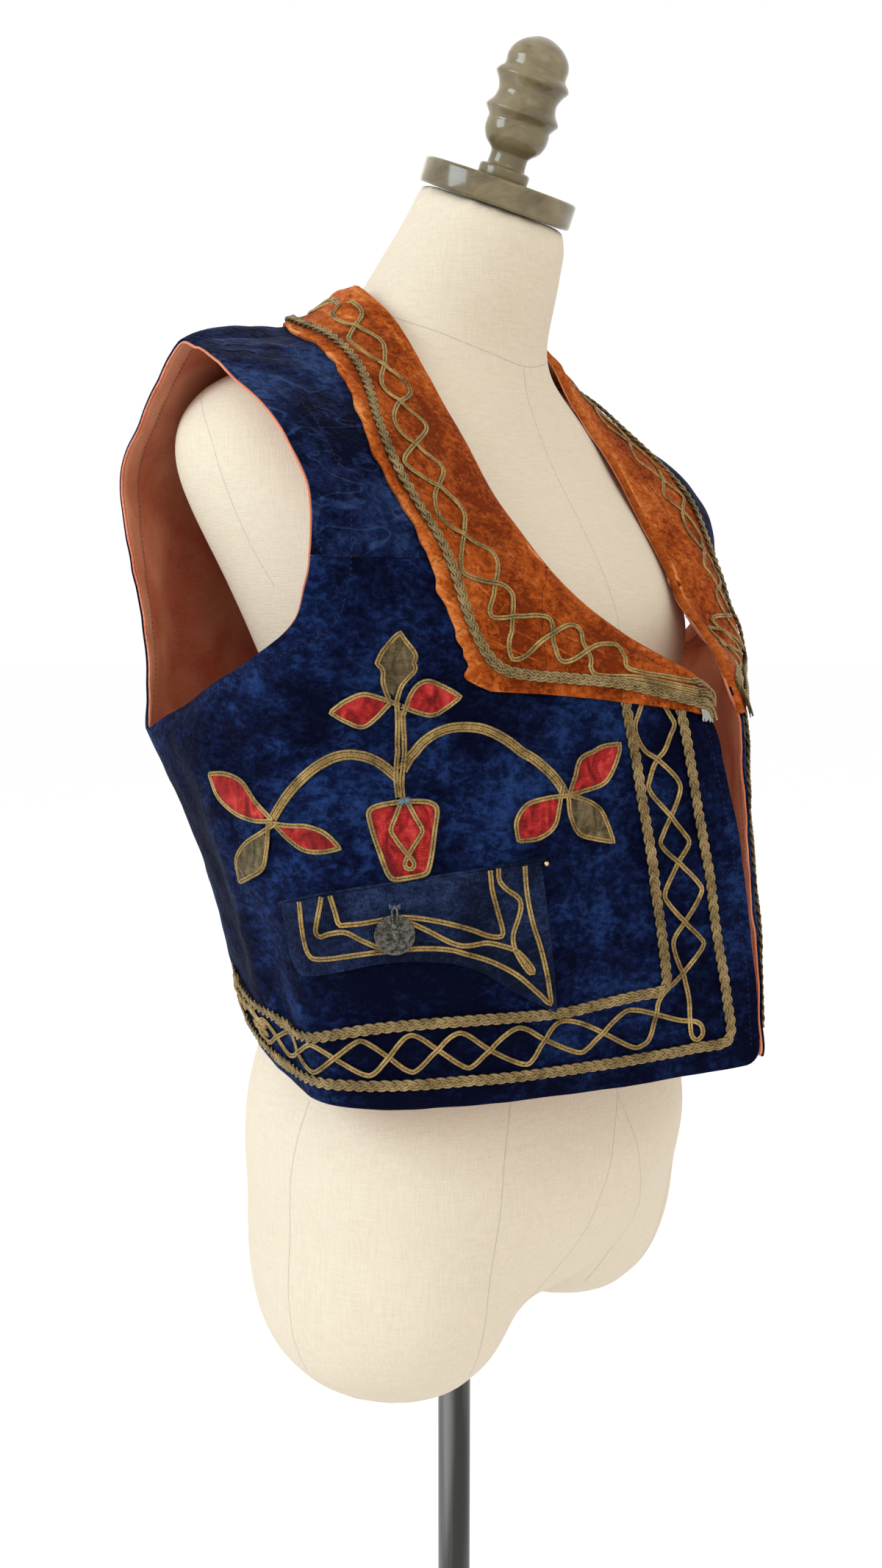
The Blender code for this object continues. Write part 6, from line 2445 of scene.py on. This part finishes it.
@dataclass(frozen=True)
class Stand:
    """The steel base, hub and pole."""

    base_radius: float = 0.185
    base_height: float = 0.014
    hub_radius: float = 0.026
    hub_height: float = 0.045
    pole_radius: float = 0.012
    pole_top: float = FORM_BOTTOM + 0.1597

    def build(self) -> None:
        """Makes the three pieces."""
        gap = 0.0003
        for name, radius, low, high, bevel, sides in (
                ("steel_base", self.base_radius, 0.0, self.base_height, 0.004, 160),
                ("steel_hub", self.hub_radius, self.base_height + gap,
                 self.base_height + self.hub_height, 0.003, 72),
                ("steel_pole", self.pole_radius, self.base_height + gap, self.pole_top,
                 0.0, 64)):
            stock = Stock()
            round_block(stock.bm, radius, high - low, bevel, sides,
                        Matrix.Translation((0, 0, (low + high) / 2)))
            stock.piece(name, STEEL, [name.removeprefix("steel_")], 40)


# ---------------------------------------------------------------- the studio


class Lamp(NamedTuple):
    """A soft square light: its place, its size in metres, power and colour."""

    name: str
    place: tuple[float, float, float]
    size: float
    power: float
    colour: Colour


@dataclass(frozen=True)
class Studio:
    """A pale floor, soft lights and the camera."""

    floor: float = 30.0
    sky: float = 1.0
    eye: tuple[float, float, float] = (-0.785, -0.625, 1.2354)
    heading: float = math.radians(39.09)
    pitch: float = math.radians(7.07)
    lens: float = 32.737
    aim: tuple[float, float, float] = (0.0, 0.0, 1.15)
    lamps: tuple[Lamp, ...] = (
        Lamp("key", (-2.1, 0.8, 2.2), 1.2, 36.0, (0.74, 0.89, 1.0)),
        Lamp("fill", (-1.0, -2.2, 2.2), 1.4, 7.0, (1.0, 0.97, 0.93)),
        Lamp("back", (1.2, 1.7, 2.5), 1.4, 5.0, (1.0, 0.96, 0.9)))

    def build(self) -> None:
        """Sets the studio up."""
        scene = bpy.context.scene
        scene.view_settings.view_transform = "Standard"
        stock = Stock()
        bmesh.ops.create_circle(stock.bm, cap_ends=True, segments=96, radius=self.floor)
        mesh = bpy.data.meshes.new("floor")
        stock.bm.to_mesh(mesh)
        stock.bm.free()
        mesh.materials.append(FLOOR.material())
        floor = bpy.data.objects.new("floor", mesh)
        scene.collection.objects.link(floor)
        world = bpy.data.worlds.new("white_room")
        world.use_nodes = True
        sky = world.node_tree.nodes["Background"]
        sky.inputs["Color"].default_value = (1.0, 1.0, 1.0, 1.0)
        sky.inputs["Strength"].default_value = self.sky
        scene.world = world
        for lamp in self.lamps:
            light = bpy.data.lights.new(lamp.name, "AREA")
            light.size = lamp.size
            light.energy = lamp.power
            light.color = lamp.colour
            made = bpy.data.objects.new(lamp.name, light)
            made.location = lamp.place
            towards = Vector(self.aim) - made.location
            made.rotation_euler = towards.to_track_quat("-Z", "Y").to_euler()
            scene.collection.objects.link(made)
        self._camera(scene)

    def _camera(self, scene: bpy.types.Scene) -> None:
        """The camera at the wearer's right front.

        Args:
            scene: The scene.
        """
        camera = bpy.data.objects.new("camera", bpy.data.cameras.new("camera"))
        camera.data.lens = self.lens
        camera.data.sensor_width = 36.0
        camera.data.clip_end = 100.0
        level = math.cos(self.pitch)
        ahead = Vector((math.cos(self.heading) * level, math.sin(self.heading) * level,
                        -math.sin(self.pitch)))
        camera.location = self.eye
        camera.rotation_euler = ahead.to_track_quat("-Z", "Y").to_euler()
        scene.collection.objects.link(camera)
        scene.camera = camera


def main() -> None:
    """Builds every sub-assembly in order."""
    logging.basicConfig(level=logging.INFO, format="%(name)s %(message)s")
    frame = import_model()
    Stand().build()
    DressForm().build(frame)
    sides = [VestSide(Hand.RIGHT), VestSide(Hand.LEFT)]
    Panels().build(sides)
    Borders().build(sides)
    for side in sides:
        Collar(side).build()
        Motif(side).build()
        Pocket(side).build()
    Studio().build()
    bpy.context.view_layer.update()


if __name__ == "__main__":
    main()
